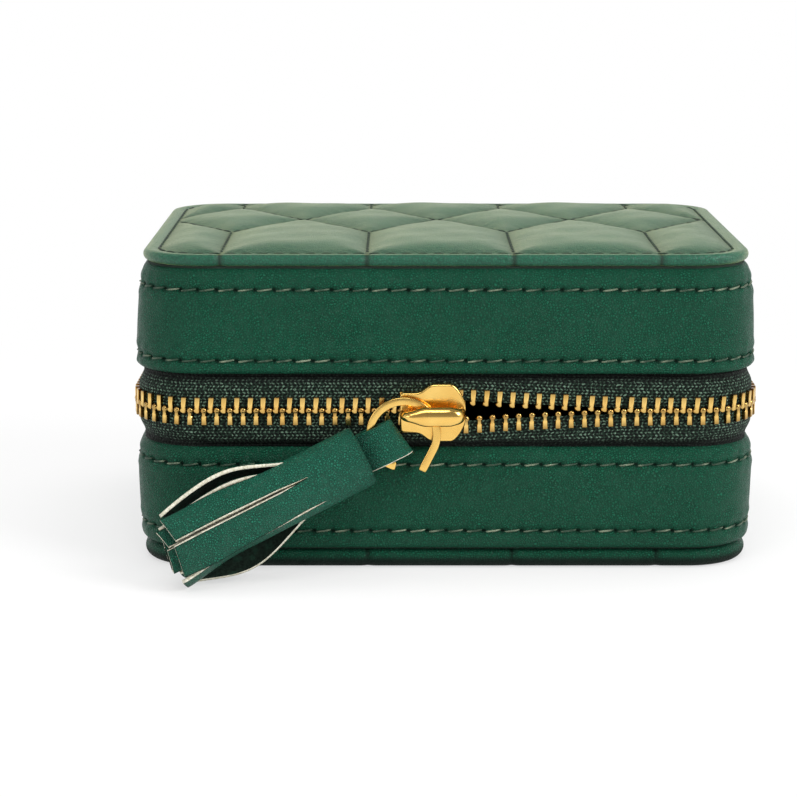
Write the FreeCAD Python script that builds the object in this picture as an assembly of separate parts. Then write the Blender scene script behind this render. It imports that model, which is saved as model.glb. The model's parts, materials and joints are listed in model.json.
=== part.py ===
import FreeCAD, Part
import math
import os
from FreeCAD import Vector

# Small zipped leather jewellery case: two padded halves on a leather hinge, a metal zip and a tassel pull.
# Frame: millimetres, +Z up, front of the case towards -Y, origin under the middle of the base.
# Everything round the case follows one outline, the mouth outline, at a stated inset from it.

# Driving dimensions of the case
mouth_width = 122.0          # across both leather bands where they meet the zip
mouth_depth = 87.0           # front to back at the same place
corner_radius = 13.5         # plan corner of the mouth outline
band_height = 20.4           # leather side band of each half
zip_gap = 14.4               # between the two bands, filled by the zip
foot_height = 3.8            # quilted panel under the base
panel_height = 3.4           # quilted panel on the lid
panel_seam = 0.3             # recess between a panel and its band
lid_taper = 1.2              # each lid side leans in by this much towards the top
base_taper = 0.5             # each base side leans in by this much towards the foot
panel_set_back = 0.4         # a panel's edge behind the band's edge

# Wall build-up, from the outside in
leather = 1.2
glue_line = 0.05
frame_wall = 2.5
lining = 0.8
board = 2.0
edge_round = 1.0             # turned leather edge of a band
frame_set_back = 0.6         # frame edge below the turned leather edge
rebate_depth = 6.5           # frame rebate that takes the zip tape

# Zip: a number 5 metal chain
tooth_pitch = 2.54
tooth_half_width = 0.48
tooth_nib = 0.14             # how far the scoop stands past the leg
tooth_length = 3.75
tooth_neck = 0.7             # share of the length where the leg narrows to the neck
tooth_head = 0.8             # and where the head starts
tooth_thickness = 2.3
chain_half_width = 2.85
chain_proud = 0.6            # outer face of the teeth past the mouth outline
tape_thickness = 0.5
tape_fit = 0.1
tape_grip = 1.8              # how deep the teeth grip the tape's edge
tape_free = 0.6              # straight tape past the teeth, before it curves in
tape_turn = 0.8              # the curve ends this far short of the band
tape_sewn = 5.0              # tape held between band and frame
slider_pull = 1.9            # extra straight tape where the slider draws it out
corner_steps = 8             # facets of a tape round one corner
last_tooth_turn = 55.0       # degrees into each rear corner
stop_length = 2.0
stop_gap = 0.3               # half the space between the stops of the two rows
stop_round = 0.35
part_shift = 1.65            # each row moves this far where the slider parts them
part_run = 42.0              # length over which the parted rows come together again
part_power = 1.6

# Slider
slider_place = -2.7          # along the front, from the middle
slider_left = 6.3
slider_right = 6.4
slider_neck = 3.9
slider_shoulder = 5.6
slider_nose = 0.7            # half height of the blunt nose
flare_start = -3.6           # the shoulders rise from the neck here
flare_end = 0.7
cheek_start = 3.4            # and slope down to the nose from here
cheek_bend = 0.4             # share of the cheek that each of its ends bends over
slider_plate = 1.0
slider_fit = 0.25
slider_slit = 0.95
post_half_width = 0.38
post_half_length = 2.0
post_point = 1.2             # half length of the diamond that parts the rows
plate_round = 0.35
bridge_length = 10.8
bridge_width = 3.6
bridge_bar = 1.7
bridge_foot = 0.9
bridge_hole = 2.8
bridge_lean = 0.3            # its feet lean in by this much
bridge_round = 1.6           # nearly half the width, so that the bar is domed

# Pull ring and tassel
ring_radius = 6.4
ring_width = 1.4
ring_thickness = 1.0
ring_opening = 45.0          # degrees of the ring without a bent wire
ring_end_turn = -27.0        # degrees from level where the bend ends
ring_end = 4.7               # straight end of the wire past the bend
ring_seat = 1.4              # centre of the wire above the slider plate
ring_seat_along = -0.5       # and along the bridge from its middle
ring_facing = Vector(-0.03, -0.99, 0.06)        # the ring lies nearly flat on the front of the case
ring_lean = Vector(0.80, 0, 0.60)               # from the ring's middle to the bridge
strap_heading = Vector(-0.885, -0.20, -0.42)    # from the ring to the tassel's tip
strap_width = 7.6
strap_thickness = 1.1
strap_fit = 0.5
strap_slack = 4.3            # the loop reaches this far past the ring's wire
strap_lean = 0.3             # slope of the loop to the tassel, which keeps it off the case
strap_reach = 2.6            # from the ring's wire to the head's end
head_half_width = 5.7        # the head is a flattened roll
head_half_height = 4.2
head_stand_off = 1.6         # middle of the head in front of the strap
head_length = 14.0
strap_hold = 4.7             # the strap's ends reach this far into the head
head_wall = 1.2
core_fit = 0.15
fringe_length = 27.0
fringe_thickness = 1.1
fringe_half_width = 7.1      # the strips fan out to this at the tips
fringe_half_height = 4.8
fringe_turn = 75.0           # degrees from the lower edge to the middle of the first strip
outer_bows = (0.2, 0.0, 2.2, 0.0, 2.4, 0.7)    # how far each outer strip bulges half way along
inner_count = 3
inner_depth = 1.9            # inner strips lie this far inside the outer ones
strip_gap = 0.05             # radians between neighbouring strips
strip_steps = 4              # facets across and along a strip

# Hinge, lining and fittings
hinge_margin = 1.5           # hinge strip stops this far short of the rear corners
hinge_bulge = 0.9
hinge_lining_thickness = 0.5
hinge_lining_bulge = 0.4
hinge_free = 1.0             # flat hinge strip past each band, before it bows
hinge_offset = 0.3           # pivot line behind the mouth outline
roll_count = 6
roll_fit = 0.3
roll_height = 13.0
roll_length = 57.0
roll_end_slope = 2.4
divider_thickness = 2.6
divider_height = 12.3
divider_fit = 0.2
mirror_width = 88.0
mirror_depth = 54.0
mirror_thickness = 2.0
mirror_radius = 6.0
bezel_width = 4.0
bezel_height = 3.0
bezel_edge = 1.0             # sloped outer edge
bezel_fit = 0.1
quilt_pitch = 28.3
quilt_shift = -1.2           # seam pattern to the left of the middle
quilt_front = -7.0           # where the front seams fork
quilt_middle = 12.5          # where the slanting seams cross
quilt_back = 32.0            # where the rear seams start
seam_width = 8.0             # the cells fall off to a seam over half of this
seam_depth = 1.1
seam_lip = 0.2               # the cutting valley starts this far outside the face
border_inset = 3.2
border_width = 3.0           # the rolled edge falls off to the border seam over half of this
panel_edge_round = 1.5

# Heights worked out from the driving dimensions
base_low = foot_height + panel_seam
base_mouth = base_low + band_height
lid_mouth = base_mouth + zip_gap
lid_high = lid_mouth + band_height
panel_low = lid_high + panel_seam
panel_top = panel_low + panel_height
chain_z = (base_mouth + lid_mouth) / 2

# Insets from the mouth outline
chain_inset = tooth_thickness / 2 - chain_proud
pocket_inset = leather + tape_fit + tape_thickness / 2
rebate_inset = pocket_inset + tape_thickness / 2 + 2 * tape_fit
frame_inset = leather + glue_line
lining_inset = frame_inset + frame_wall + glue_line
cavity_inset = lining_inset + lining
floor_z = base_low + board + lining
ceiling_z = lid_high - board - lining

# Lengths along the chain, from the middle of the front to one end
front_half = mouth_width / 2 - corner_radius
hinge_width = 2 * (front_half - hinge_margin)
side_run = mouth_depth - 2 * corner_radius
chain_radius = corner_radius - chain_inset
quarter_turn = chain_radius * math.pi / 2
chain_half_length = front_half + quarter_turn + side_run + chain_radius * math.radians(last_tooth_turn)
tape_half_length = 2 * front_half + 2 * quarter_turn + side_run - hinge_width / 2 - tape_fit

os.makedirs("parts", exist_ok=True)


def save(name, *solids):
    """Writes one node, which may hold several separate solids."""
    shape = solids[0] if len(solids) == 1 else Part.makeCompound(list(solids))
    shape.exportStep(f"parts/{name}.step")


def outline(inset, z):
    """Closed wire of the mouth outline, moved in by inset, at height z."""
    half_x = mouth_width / 2 - inset
    half_y = mouth_depth / 2 - inset
    radius = corner_radius - inset
    return rounded_rectangle(half_x, half_y, radius, z)


def rounded_rectangle(half_x, half_y, radius, z):
    centres = [(half_x - radius, half_y - radius, 0), (radius - half_x, half_y - radius, 90),
               (radius - half_x, radius - half_y, 180), (half_x - radius, radius - half_y, 270)]
    corners = []
    for x, y, start in centres:
        turn = [math.radians(start + part * 45) for part in range(3)]
        corners.append([Vector(x + radius * math.cos(a), y + radius * math.sin(a), z) for a in turn])
    edges = []
    for index, corner in enumerate(corners):
        edges.append(Part.Arc(*corner).toShape())
        edges.append(Part.LineSegment(corner[2], corners[(index + 1) % 4][0]).toShape())
    return Part.Wire(edges)


def slab(low_inset, low_z, high_inset, high_z):
    """Solid between two insets of the outline at two heights."""
    return Part.makeLoft([outline(low_inset, low_z), outline(high_inset, high_z)], True, True)


def level_edges(shape, z):
    """Edges that lie flat at height z."""
    return [e for e in shape.Edges if abs(e.BoundBox.ZMin - z) < 1e-4 and abs(e.BoundBox.ZMax - z) < 1e-4]


def box(x0, y0, z0, x1, y1, z1):
    return Part.makeBox(x1 - x0, y1 - y0, z1 - z0, Vector(x0, y0, z0))


def prism(points, direction):
    """Solid of a closed polygon moved along a direction."""
    return Part.Face(Part.makePolygon([*points, points[0]])).extrude(direction)


def band(low_inset, low_z, high_inset, high_z):
    """Leather side band with turned, rounded edges."""
    outer = slab(low_inset, low_z, high_inset, high_z)
    outer = outer.makeFillet(edge_round, level_edges(outer, low_z) + level_edges(outer, high_z))
    return outer.cut(slab(low_inset + leather, low_z, high_inset + leather, high_z))


def between(near_z, near_inset, far_z, far_inset):
    """Slab between two levels given in either order."""
    (low_z, low_inset), (high_z, high_inset) = sorted([(near_z, near_inset), (far_z, far_inset)])
    return slab(low_inset, low_z, high_inset, high_z)


def frame(mouth_z, far_z, taper):
    """Rigid wall ring that leans with its band, rebated at its mouth end for the zip tape."""
    rebate_z = mouth_z + math.copysign(rebate_depth, far_z - mouth_z)
    rebate_lean = taper * rebate_depth / band_height
    wall_inner = frame_inset + frame_wall
    outer = between(mouth_z, frame_inset, far_z, frame_inset + taper)
    inner = between(mouth_z, wall_inner, far_z, wall_inner)
    trim = between(mouth_z, -frame_wall, rebate_z, -frame_wall)
    trim = trim.cut(between(mouth_z, rebate_inset, rebate_z, rebate_inset + rebate_lean))
    return outer.cut(inner).cut(trim)


def tray(floor_z, mouth_z):
    """Lining of one half: walls and a floor, open at the mouth."""
    inner_floor = floor_z + math.copysign(lining, mouth_z - floor_z)
    shell = between(floor_z, lining_inset, mouth_z, lining_inset)
    return shell.cut(between(inner_floor, cavity_inset, mouth_z, cavity_inset))


# Quilted panels

def seam_lines():
    """Straight seams of the quilting as pairs of plan points."""
    half_x = mouth_width / 2
    half_y = mouth_depth / 2
    seam_count = int(half_x // quilt_pitch) + 1
    lines = []
    for index in range(-seam_count, seam_count):
        x = quilt_shift + (index + 0.5) * quilt_pitch
        lines.append(((x, -half_y), (x, quilt_front)))
        lines.append(((x, quilt_back), (x, half_y)))
        for side in (-1, 1):
            crossing = (x + side * quilt_pitch / 2, quilt_middle)
            lines.append(((x, quilt_front), crossing))
            lines.append(((x, quilt_back), crossing))
    return lines


def seam_groove(start, end, z, sink):
    """Sharp valley along one seam; sink is how far and which way it goes in."""
    along = Vector(end[0] - start[0], end[1] - start[1], 0)
    across = Vector(-along.y, along.x, 0).normalize() * (seam_width / 2)
    origin = Vector(start[0], start[1], z)
    lip = Vector(0, 0, -math.copysign(seam_lip, sink))
    points = [origin + across + lip, origin - across + lip, origin + Vector(0, 0, sink)]
    return prism(points, along)


def quilted_panel(inset, low_z, high_z, face_z):
    """Padded panel with rolled edges, quilting seams and a border seam on the face at face_z."""
    pad = slab(inset, low_z, inset, high_z)
    pad = pad.makeFillet(panel_edge_round, level_edges(pad, low_z) + level_edges(pad, high_z))
    sink = math.copysign(seam_depth, (low_z + high_z) / 2 - face_z)
    field = slab(inset + panel_edge_round, low_z - 1, inset + panel_edge_round, high_z + 1)
    grooves = [seam_groove(a, b, face_z, sink).common(field) for a, b in seam_lines()]
    grooves = [g for g in grooves if g.Volume > 0]
    border = slab(inset + border_inset - border_width / 2, face_z, inset + border_inset, face_z + sink)
    rim = slab(inset + border_inset + seam_width / 2, face_z, inset + border_inset, face_z + sink)
    return pad.cut(grooves[0].multiFuse(grooves[1:] + [border.cut(rim)]))


# Zip chain and tapes

def chain_frame(s):
    """Plan point, outward normal and heading of the chain at distance s from the front's middle."""
    side = 1 if s >= 0 else -1
    left = abs(s)
    half_x = mouth_width / 2 - corner_radius
    half_y = mouth_depth / 2 - corner_radius
    if left <= front_half:
        x, y, turn = left, -half_y - chain_radius, 0.0
    elif left <= front_half + quarter_turn:
        turn = (left - front_half) / chain_radius
        x, y = half_x + chain_radius * math.sin(turn), -half_y - chain_radius * math.cos(turn)
    elif left <= front_half + quarter_turn + side_run:
        turn = math.pi / 2
        x, y = half_x + chain_radius, -half_y + left - front_half - quarter_turn
    elif left <= front_half + 2 * quarter_turn + side_run:
        turn = math.pi / 2 + (left - front_half - quarter_turn - side_run) / chain_radius
        x, y = half_x + chain_radius * math.sin(turn), half_y - chain_radius * math.cos(turn)
    else:
        turn = math.pi
        x, y = half_x - (left - front_half - 2 * quarter_turn - side_run), half_y + chain_radius
    return Vector(side * x, y, 0), Vector(side * math.sin(turn), -math.cos(turn), 0), side * turn


def row_shift(s):
    """How far each row of teeth is parted at s: nothing behind the slider, most at its mouth."""
    mouth = slider_place + slider_right
    ramp = (s - slider_place + post_half_length) / (slider_right + post_half_length)
    if s <= mouth:
        ramp = max(0.0, ramp)
        return part_shift * ramp * ramp * (3 - 2 * ramp)
    return part_shift * max(0.0, 1 - (s - mouth) / part_run) ** part_power


def tooth_row(up, phase):
    """Separate teeth of one row; up is +1 for the lid's row."""
    count = int(chain_half_length // tooth_pitch)
    scoop = -tooth_half_width - tooth_nib
    neck = tooth_length * tooth_neck
    head = tooth_length * tooth_head
    profile = [(-tooth_half_width, 0), (tooth_half_width, 0), (tooth_half_width, tooth_length),
               (scoop, tooth_length), (scoop, head), (-tooth_half_width, neck)]
    points = [Vector(t, -tooth_thickness / 2, -up * v) for t, v in profile]
    tooth = prism(points, Vector(0, tooth_thickness, 0))
    teeth = []
    for index in range(-count, count):
        s = (index + phase) * tooth_pitch
        place, _, turn = chain_frame(s)
        lift = chain_z + up * (chain_half_width + row_shift(s))
        copy = tooth.copy()
        copy.Placement = FreeCAD.Placement(place + Vector(0, 0, lift),
                                           FreeCAD.Rotation(Vector(0, 0, 1), math.degrees(turn)))
        teeth.append(copy)
    return teeth


def tape_stations():
    """Distances along the chain where the tape's section is drawn."""
    rear = front_half + quarter_turn + side_run
    turns = [k * quarter_turn / corner_steps for k in range(corner_steps + 1)]
    half = [front_half + t for t in turns] + [rear + t for t in turns] + [tape_half_length]
    start = slider_place - post_half_length
    mouth = slider_place + slider_right
    parted = [slider_place - 2 * slider_left, slider_place - slider_left]
    parted += [start + k * (mouth - start) / 4 for k in range(5)]
    parted += [mouth + k * (front_half - mouth) / 6 for k in range(1, 6)]
    return [-s for s in reversed(half)] + parted + half


def tape(up, mouth_z, taper):
    """Woven tape of one half: gripped by the teeth, then curving in behind the leather band."""
    sunk = chain_inset - pocket_inset
    sewn = sunk - taper * tape_sewn / band_height
    sections = []
    for s in tape_stations():
        place, normal, _ = chain_frame(s)
        bead = chain_z + up * (chain_half_width - tape_grip + row_shift(s))
        pull = slider_pull * math.exp(-((s - slider_place) / slider_left) ** 2)
        free = chain_z + up * (chain_half_width + row_shift(s) + tape_free + pull)
        line = [(0, bead), (0, free), (sunk, mouth_z - up * tape_turn), (sewn, mouth_z + up * tape_sewn)]
        front = [place + normal * (n + tape_thickness / 2) + Vector(0, 0, z) for n, z in line]
        back = [place + normal * (n - tape_thickness / 2) + Vector(0, 0, z) for n, z in line]
        loop = front + back[::-1]
        sections.append(Part.makePolygon([*loop, loop[0]]))
    return Part.makeLoft(sections, True, True)


def end_stops(up):
    """Small metal clamps past the last tooth at both ends of one row."""
    stops = []
    height = chain_half_width - stop_gap
    block = box(-stop_length / 2, -tooth_thickness / 2, 0, stop_length / 2, tooth_thickness / 2, height)
    block = block.makeFillet(stop_round, [e for e in block.Edges if abs(e.Curve.Direction.x) > 0.9])
    for side in (-1, 1):
        s = side * (chain_half_length + tooth_pitch + stop_length / 2)
        place, _, turn = chain_frame(s)
        low = chain_z + (stop_gap if up > 0 else -chain_half_width)
        copy = block.copy()
        copy.Placement = FreeCAD.Placement(place + Vector(0, 0, low),
                                           FreeCAD.Rotation(Vector(0, 0, 1), math.degrees(turn)))
        stops.append(copy)
    return stops


# Slider

chain_y = chain_frame(0)[0].y
plate_inner = tooth_thickness / 2 + slider_fit
plate_outer = plate_inner + slider_plate


def slider_point(x, out, z):
    """Case point from slider coordinates: along the zip, out from the chain, up from its middle."""
    return Vector(slider_place + x, chain_y - out, chain_z + z)


def slider_outline(out):
    """Plate outline: a narrow tail, shoulders and a blunt nose."""
    edges = []
    nose = slider_nose
    for side in (1, -1):
        tail = slider_point(-slider_left, out, side * slider_neck)
        neck = slider_point(flare_start, out, side * slider_neck)
        shoulder = slider_point(flare_end, out, side * slider_shoulder)
        bend = Vector((shoulder.x - neck.x) / 2, 0, 0)
        flare = Part.BezierCurve()
        flare.setPoles([neck, neck + bend, shoulder - bend, shoulder])
        turn = slider_point(cheek_start, out, side * slider_shoulder)
        tip = slider_point(slider_right, out, side * nose)
        cheek = Part.BezierCurve()
        cheek.setPoles([turn, turn + Vector((tip.x - turn.x) * cheek_bend, 0, 0),
                        tip + Vector(0, 0, (turn.z - tip.z) * cheek_bend), tip])
        half = [Part.LineSegment(tail, neck).toShape(), flare.toShape(),
                Part.LineSegment(shoulder, turn).toShape(), cheek.toShape()]
        edges.append(half)
    ends = [slider_point(x, out, z) for x, z in ((slider_right, nose), (slider_right, -nose),
                                                 (-slider_left, -slider_neck), (-slider_left, slider_neck))]
    loop = edges[0] + [Part.LineSegment(ends[0], ends[1]).toShape()] + edges[1][::-1]
    loop.append(Part.LineSegment(ends[2], ends[3]).toShape())
    return Part.Face(Part.Wire(Part.__sortEdges__(loop)))


def plate(out_low, out_high):
    return slider_outline(out_low).extrude(Vector(0, out_low - out_high, 0))


def channel():
    """Space for the two rows of teeth: one channel at the tail, forking towards the nose."""
    stations = [-slider_left - 1 + k * (slider_left + slider_right + 2) / 12 for k in range(13)]
    reach = chain_half_width + slider_fit
    top = [slider_point(x, -plate_inner, reach + row_shift(slider_place + x)) for x in stations]
    low = [slider_point(x, -plate_inner, -reach - row_shift(slider_place + x)) for x in stations]
    return prism(top + low[::-1], Vector(0, -2 * plate_inner, 0))


def slider_body():
    """Both plates, the flanges that hold the teeth and the post that parts them."""
    front = plate(plate_inner, plate_outer)
    tail = slider_place - slider_left
    front = front.makeFillet(2 * plate_round, [e for e in front.Edges if e.BoundBox.XMax < tail + 1e-4
                                               and e.BoundBox.ZLength < 1e-4])
    front = front.makeFillet(plate_round, [e for e in front.Edges
                                           if e.BoundBox.YMax < chain_y - plate_outer + 1e-4])
    back = plate(-plate_outer, -plate_inner)
    walls = plate(-plate_inner, plate_inner).cut(channel())
    slit_box = box(slider_place - 2 * slider_left, chain_y - slider_slit / 2, chain_z - 3 * slider_shoulder,
                   slider_place + 2 * slider_right, chain_y + slider_slit / 2, chain_z + 3 * slider_shoulder)
    walls = walls.cut(slit_box)
    centre = slider_right - post_half_length
    diamond = [(centre - post_point, 0), (centre, post_half_width),
               (centre + post_point, 0), (centre, -post_half_width)]
    post = prism([slider_point(x, -plate_inner, z) for x, z in diamond], Vector(0, -2 * plate_inner, 0))
    return front.multiFuse([back, walls, post]).removeSplitter()


def slider_bridge():
    """Arched bar on the front plate that carries the pull ring."""
    half = bridge_length / 2
    height = bridge_hole + bridge_bar
    outer = [slider_point(x, plate_outer + out, -bridge_width / 2)
             for x, out in ((-half, 0), (-half + bridge_lean, height),
                            (half - bridge_lean, height), (half, 0))]
    arch = prism(outer, Vector(0, 0, bridge_width))
    raised = chain_y - plate_outer - bridge_hole
    arch = arch.makeFillet(bridge_round, [e for e in arch.Edges if e.BoundBox.YMin < raised])
    inner = [slider_point(x, plate_outer + out, -bridge_width)
             for x, out in ((-half + bridge_foot, 0), (-half + bridge_foot + bridge_lean / 3, bridge_hole),
                            (half - bridge_foot - bridge_lean / 3, bridge_hole), (half - bridge_foot, 0))]
    return arch.cut(prism(inner, Vector(0, 0, 2 * bridge_width)))


# Pull ring and tassel

ring_axis = Vector(ring_facing).normalize()
ring_seat_point = slider_point(ring_seat_along, plate_outer + ring_seat, 0)
ring_to_seat = (ring_lean - ring_axis * ring_lean.dot(ring_axis)).normalize()
ring_centre = ring_seat_point - ring_to_seat * ring_radius
strap_direction = Vector(strap_heading).normalize()
strap_across = ring_axis.cross(strap_direction).normalize()
strap_out = strap_direction.cross(strap_across).normalize()
ring_hold = strap_direction - ring_axis * strap_direction.dot(ring_axis)
ring_hold = ring_centre + ring_hold.normalize() * ring_radius
strap_pinch = strap_thickness + glue_line * 2


def pull_ring():
    """Open ring of flat wire, one end straight and apart from the other at the lower right."""
    level = Vector(1, 0, 0)
    level = (level - ring_axis * level.dot(ring_axis)).normalize()
    start = FreeCAD.Rotation(ring_axis, ring_end_turn).multVec(level)
    inner = ring_radius - ring_width / 2
    outer = ring_radius + ring_width / 2
    half = ring_axis * (ring_thickness / 2)
    section = [ring_centre + start * inner + half, ring_centre + start * outer + half,
               ring_centre + start * outer - half, ring_centre + start * inner - half]
    face = Part.Face(Part.makePolygon([*section, section[0]]))
    bend = face.revolve(ring_centre, ring_axis, 360 - ring_opening)
    return bend.fuse(face.extrude(start.cross(ring_axis) * ring_end)).removeSplitter()


def tassel_point(along, across, out):
    """Case point from tassel coordinates, measured from the ring's wire."""
    return ring_hold + strap_direction * along + strap_across * across + strap_out * out


def strap():
    """Leather strip folded in a slack loop round the ring's wire, its two ends going into the head."""
    hole = math.hypot(ring_width, ring_thickness) / 2 + strap_fit
    swell = hole + strap_thickness
    fold_hole = strap_thickness / 2
    fold = fold_hole + strap_thickness
    lift = strap_slack * strap_lean
    end = strap_reach + strap_hold
    low = -strap_width / 2

    def loop(radius, swell, tail, across):
        nose = [tassel_point(-strap_slack, across, lift + radius),
                tassel_point(-strap_slack - radius, across, lift),
                tassel_point(-strap_slack, across, lift - radius)]
        flank = [tassel_point(along, across, out) for along, out in [(0, -swell), *tail, (0, swell)]]
        corners = [nose[2], *flank, nose[0]]
        edges = [Part.LineSegment(a, b).toShape() for a, b in zip(corners, corners[1:])]
        return Part.Face(Part.Wire([Part.Arc(*nose).toShape(), *edges]))

    pinch = strap_pinch
    tail = [(strap_reach - strap_fit, -pinch), (end, -pinch), (end, pinch), (strap_reach - strap_fit, pinch)]
    body = loop(fold, swell, tail, low).extrude(strap_across * strap_width)
    eye = loop(fold_hole, hole, [(strap_reach - strap_thickness, 0)], 2 * low)
    sleeve = roll(head_half_width, head_half_height, head_length)
    sleeve = sleeve.cut(roll(head_half_width - head_wall - core_fit, head_half_height - head_wall - core_fit,
                             head_length))
    return body.cut(eye.extrude(strap_across * 2 * strap_width)).cut(sleeve)


def roll(half_width, half_height, length):
    """Flattened round bar from the head's end towards the fringe."""
    ellipse = Part.Ellipse(head_point(0, half_width, 0), head_point(0, 0, half_height), head_point(0, 0, 0))
    return Part.Face(Part.Wire(ellipse.toShape())).extrude(strap_direction * length)


def head_point(along, across, out):
    """Case point measured from the middle of the head's end."""
    return tassel_point(strap_reach + along, across, head_stand_off + out)


def tassel_head():
    """Rolled leather sleeve round the strap's ends and the root of the fringe."""
    outer = roll(head_half_width, head_half_height, head_length)
    return outer.cut(roll(head_half_width - head_wall, head_half_height - head_wall, head_length))


def tassel_core():
    """Rolled inner layers that fill the head, slotted for the strap's ends."""
    gap = head_wall + core_fit
    filling = roll(head_half_width - gap, head_half_height - gap, head_length)
    half = strap_width / 2 + core_fit
    pinch = strap_pinch + core_fit
    corners = [tassel_point(strap_reach - core_fit, a, b) for a, b in ((-half, -pinch), (half, -pinch),
                                                                     (half, pinch), (-half, pinch))]
    return filling.cut(prism(corners, strap_direction * (strap_hold + 2 * core_fit)))


def strip(middle, half_turn, root, tip, bow, thickness):
    """One leather strip from the head to its tip; root and tip are half sizes across and out."""
    stations = [2 * k / strip_steps - 1 for k in range(strip_steps + 1)]
    sections = []
    for k in range(strip_steps + 1):
        share = k / strip_steps
        spread = math.sin(share * math.pi / 2)
        bulge = bow * math.sin(share * math.pi)
        half_sizes = [a + (b - a) * spread + bulge for a, b in zip(root, tip)]
        loop = []
        for depth, row in ((0, stations), (thickness, stations[::-1])):
            for step in row:
                angle = middle + step * half_turn
                across = (half_sizes[0] - depth) * math.cos(angle)
                out = (half_sizes[1] - depth) * math.sin(angle)
                loop.append(head_point(head_length + share * fringe_length, across, out))
        sections.append(Part.makePolygon([*loop, loop[0]]))
    return Part.makeLoft(sections, True, True)


def fringe_strips():
    """Strips cut in the rolled leather: outer ones run on from the sleeve, inner ones from the filling."""
    root = (head_half_width, head_half_height)
    tip = (fringe_half_width, fringe_half_height)
    inner_root = [half - inner_depth for half in root]
    inner_tip = [half - inner_depth for half in tip]
    outer_turn = math.pi / len(outer_bows)
    inner_turn = math.pi / inner_count
    first = math.radians(fringe_turn)
    strips = []
    for index, bow in enumerate(outer_bows):
        middle = first + 2 * outer_turn * index
        strips.append(strip(middle, outer_turn - strip_gap, root, tip, bow, fringe_thickness))
    for index in range(inner_count):
        middle = first + outer_turn + 2 * inner_turn * index
        strips.append(strip(middle, inner_turn - strip_gap, inner_root, inner_tip, 0, fringe_thickness))
    return strips


# Hinge, fittings

def hinge_sheet(inset, thickness, bulge, base_lean, lid_lean):
    """Strip across the back that joins the halves, bowed out between the two bands."""
    back = mouth_depth / 2 - inset
    hold = tape_sewn / band_height
    line = [(back - base_lean * hold, base_mouth - tape_sewn), (back, base_mouth + hinge_free),
            (back + bulge, chain_z),
            (back, lid_mouth - hinge_free), (back - lid_lean * hold, lid_mouth + tape_sewn)]
    points = [Vector(-hinge_width / 2, y + thickness / 2, z) for y, z in line]
    points += [Vector(-hinge_width / 2, y - thickness / 2, z) for y, z in reversed(line)]
    return prism(points, Vector(hinge_width, 0, 0))


def ring_roll(y):
    """Stuffed roll that grips a ring's band, flat underneath and domed above."""
    half = roll_width / 2
    x = roll_left
    low = floor_z
    left, right = Vector(x, y - half, low), Vector(x, y + half, low)
    shoulder = roll_height - half
    up_left, up_right = Vector(x, y - half, low + shoulder), Vector(x, y + half, low + shoulder)
    crown = Part.Arc(up_left, Vector(x, y, low + roll_height), up_right).toShape()
    edges = [Part.LineSegment(left, up_left).toShape(), crown, Part.LineSegment(up_right, right).toShape(),
             Part.LineSegment(right, left).toShape()]
    roll = Part.Face(Part.Wire(edges)).extrude(Vector(roll_length, 0, 0))
    ends = [e for e in roll.Edges if e.BoundBox.XLength < 1e-4 and e.BoundBox.ZMax > low + 0.1]
    return roll.makeChamfer(roll_end_slope, ends)


cavity_half_x = mouth_width / 2 - cavity_inset
cavity_half_y = mouth_depth / 2 - cavity_inset
roll_left = -cavity_half_x + corner_radius - cavity_inset - roll_end_slope
roll_pitch = 2 * cavity_half_y / roll_count
roll_width = roll_pitch - roll_fit
bay_wall_x = roll_left + roll_length + roll_fit

# Base half
save("base_foot_panel", quilted_panel(base_taper + panel_set_back, 0, foot_height, 0))
save("base_band", band(base_taper, base_low, 0, base_mouth))
base_top = base_mouth - frame_set_back
save("base_frame", frame(base_top, foot_height, base_taper))
save("base_board", slab(lining_inset - glue_line, foot_height, lining_inset - glue_line, base_low + board))
save("base_lining", tray(base_low + board, base_top))
for number in range(roll_count):
    save(f"ring_roll_{number + 1}", ring_roll(-cavity_half_y + (number + 0.5) * roll_pitch))
bay_wall = box(bay_wall_x, -cavity_half_y + divider_fit, floor_z,
               bay_wall_x + divider_thickness, cavity_half_y - divider_fit, floor_z + divider_height)
save("bay_divider", bay_wall)
cross_wall = box(bay_wall_x + divider_thickness, -divider_thickness / 2, floor_z,
                 cavity_half_x - divider_fit, divider_thickness / 2, floor_z + divider_height)
save("cross_divider", cross_wall)
save("lower_zip_tape", tape(-1, base_mouth, base_taper))
save("lower_zip_teeth", *tooth_row(-1, 0.5))
save("lower_zip_stops", *end_stops(-1))
save("hinge_leather", hinge_sheet(pocket_inset, tape_thickness, hinge_bulge, base_taper, lid_taper))
save("hinge_lining", hinge_sheet(cavity_inset + hinge_lining_thickness, hinge_lining_thickness,
                                 hinge_lining_bulge, 0, 0))

# Lid half
save("lid_quilted_panel", quilted_panel(lid_taper + panel_set_back, panel_low, panel_top, panel_top))
save("lid_band", band(0, lid_mouth, lid_taper, lid_high))
lid_low = lid_mouth + frame_set_back
save("lid_frame", frame(lid_low, panel_low, lid_taper))
save("lid_board", slab(lining_inset - glue_line, lid_high - board, lining_inset - glue_line, panel_low))
save("lid_lining", tray(lid_high - board, lid_low))
mirror = rounded_rectangle(mirror_width / 2, mirror_depth / 2, mirror_radius, ceiling_z - mirror_thickness)
save("lid_mirror", Part.Face(mirror).extrude(Vector(0, 0, mirror_thickness)))
bezel_low = ceiling_z - bezel_height
bezel_outer = rounded_rectangle(mirror_width / 2 + bezel_width, mirror_depth / 2 + bezel_width,
                                mirror_radius + bezel_width, bezel_low)
bezel_inner = rounded_rectangle(mirror_width / 2 + bezel_fit, mirror_depth / 2 + bezel_fit,
                                mirror_radius + bezel_fit, bezel_low)
bezel = Part.Face(bezel_outer).extrude(Vector(0, 0, bezel_height))
bezel = bezel.makeChamfer(bezel_edge, level_edges(bezel, bezel_low))
save("mirror_bezel", bezel.cut(Part.Face(bezel_inner).extrude(Vector(0, 0, bezel_height))))
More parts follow.
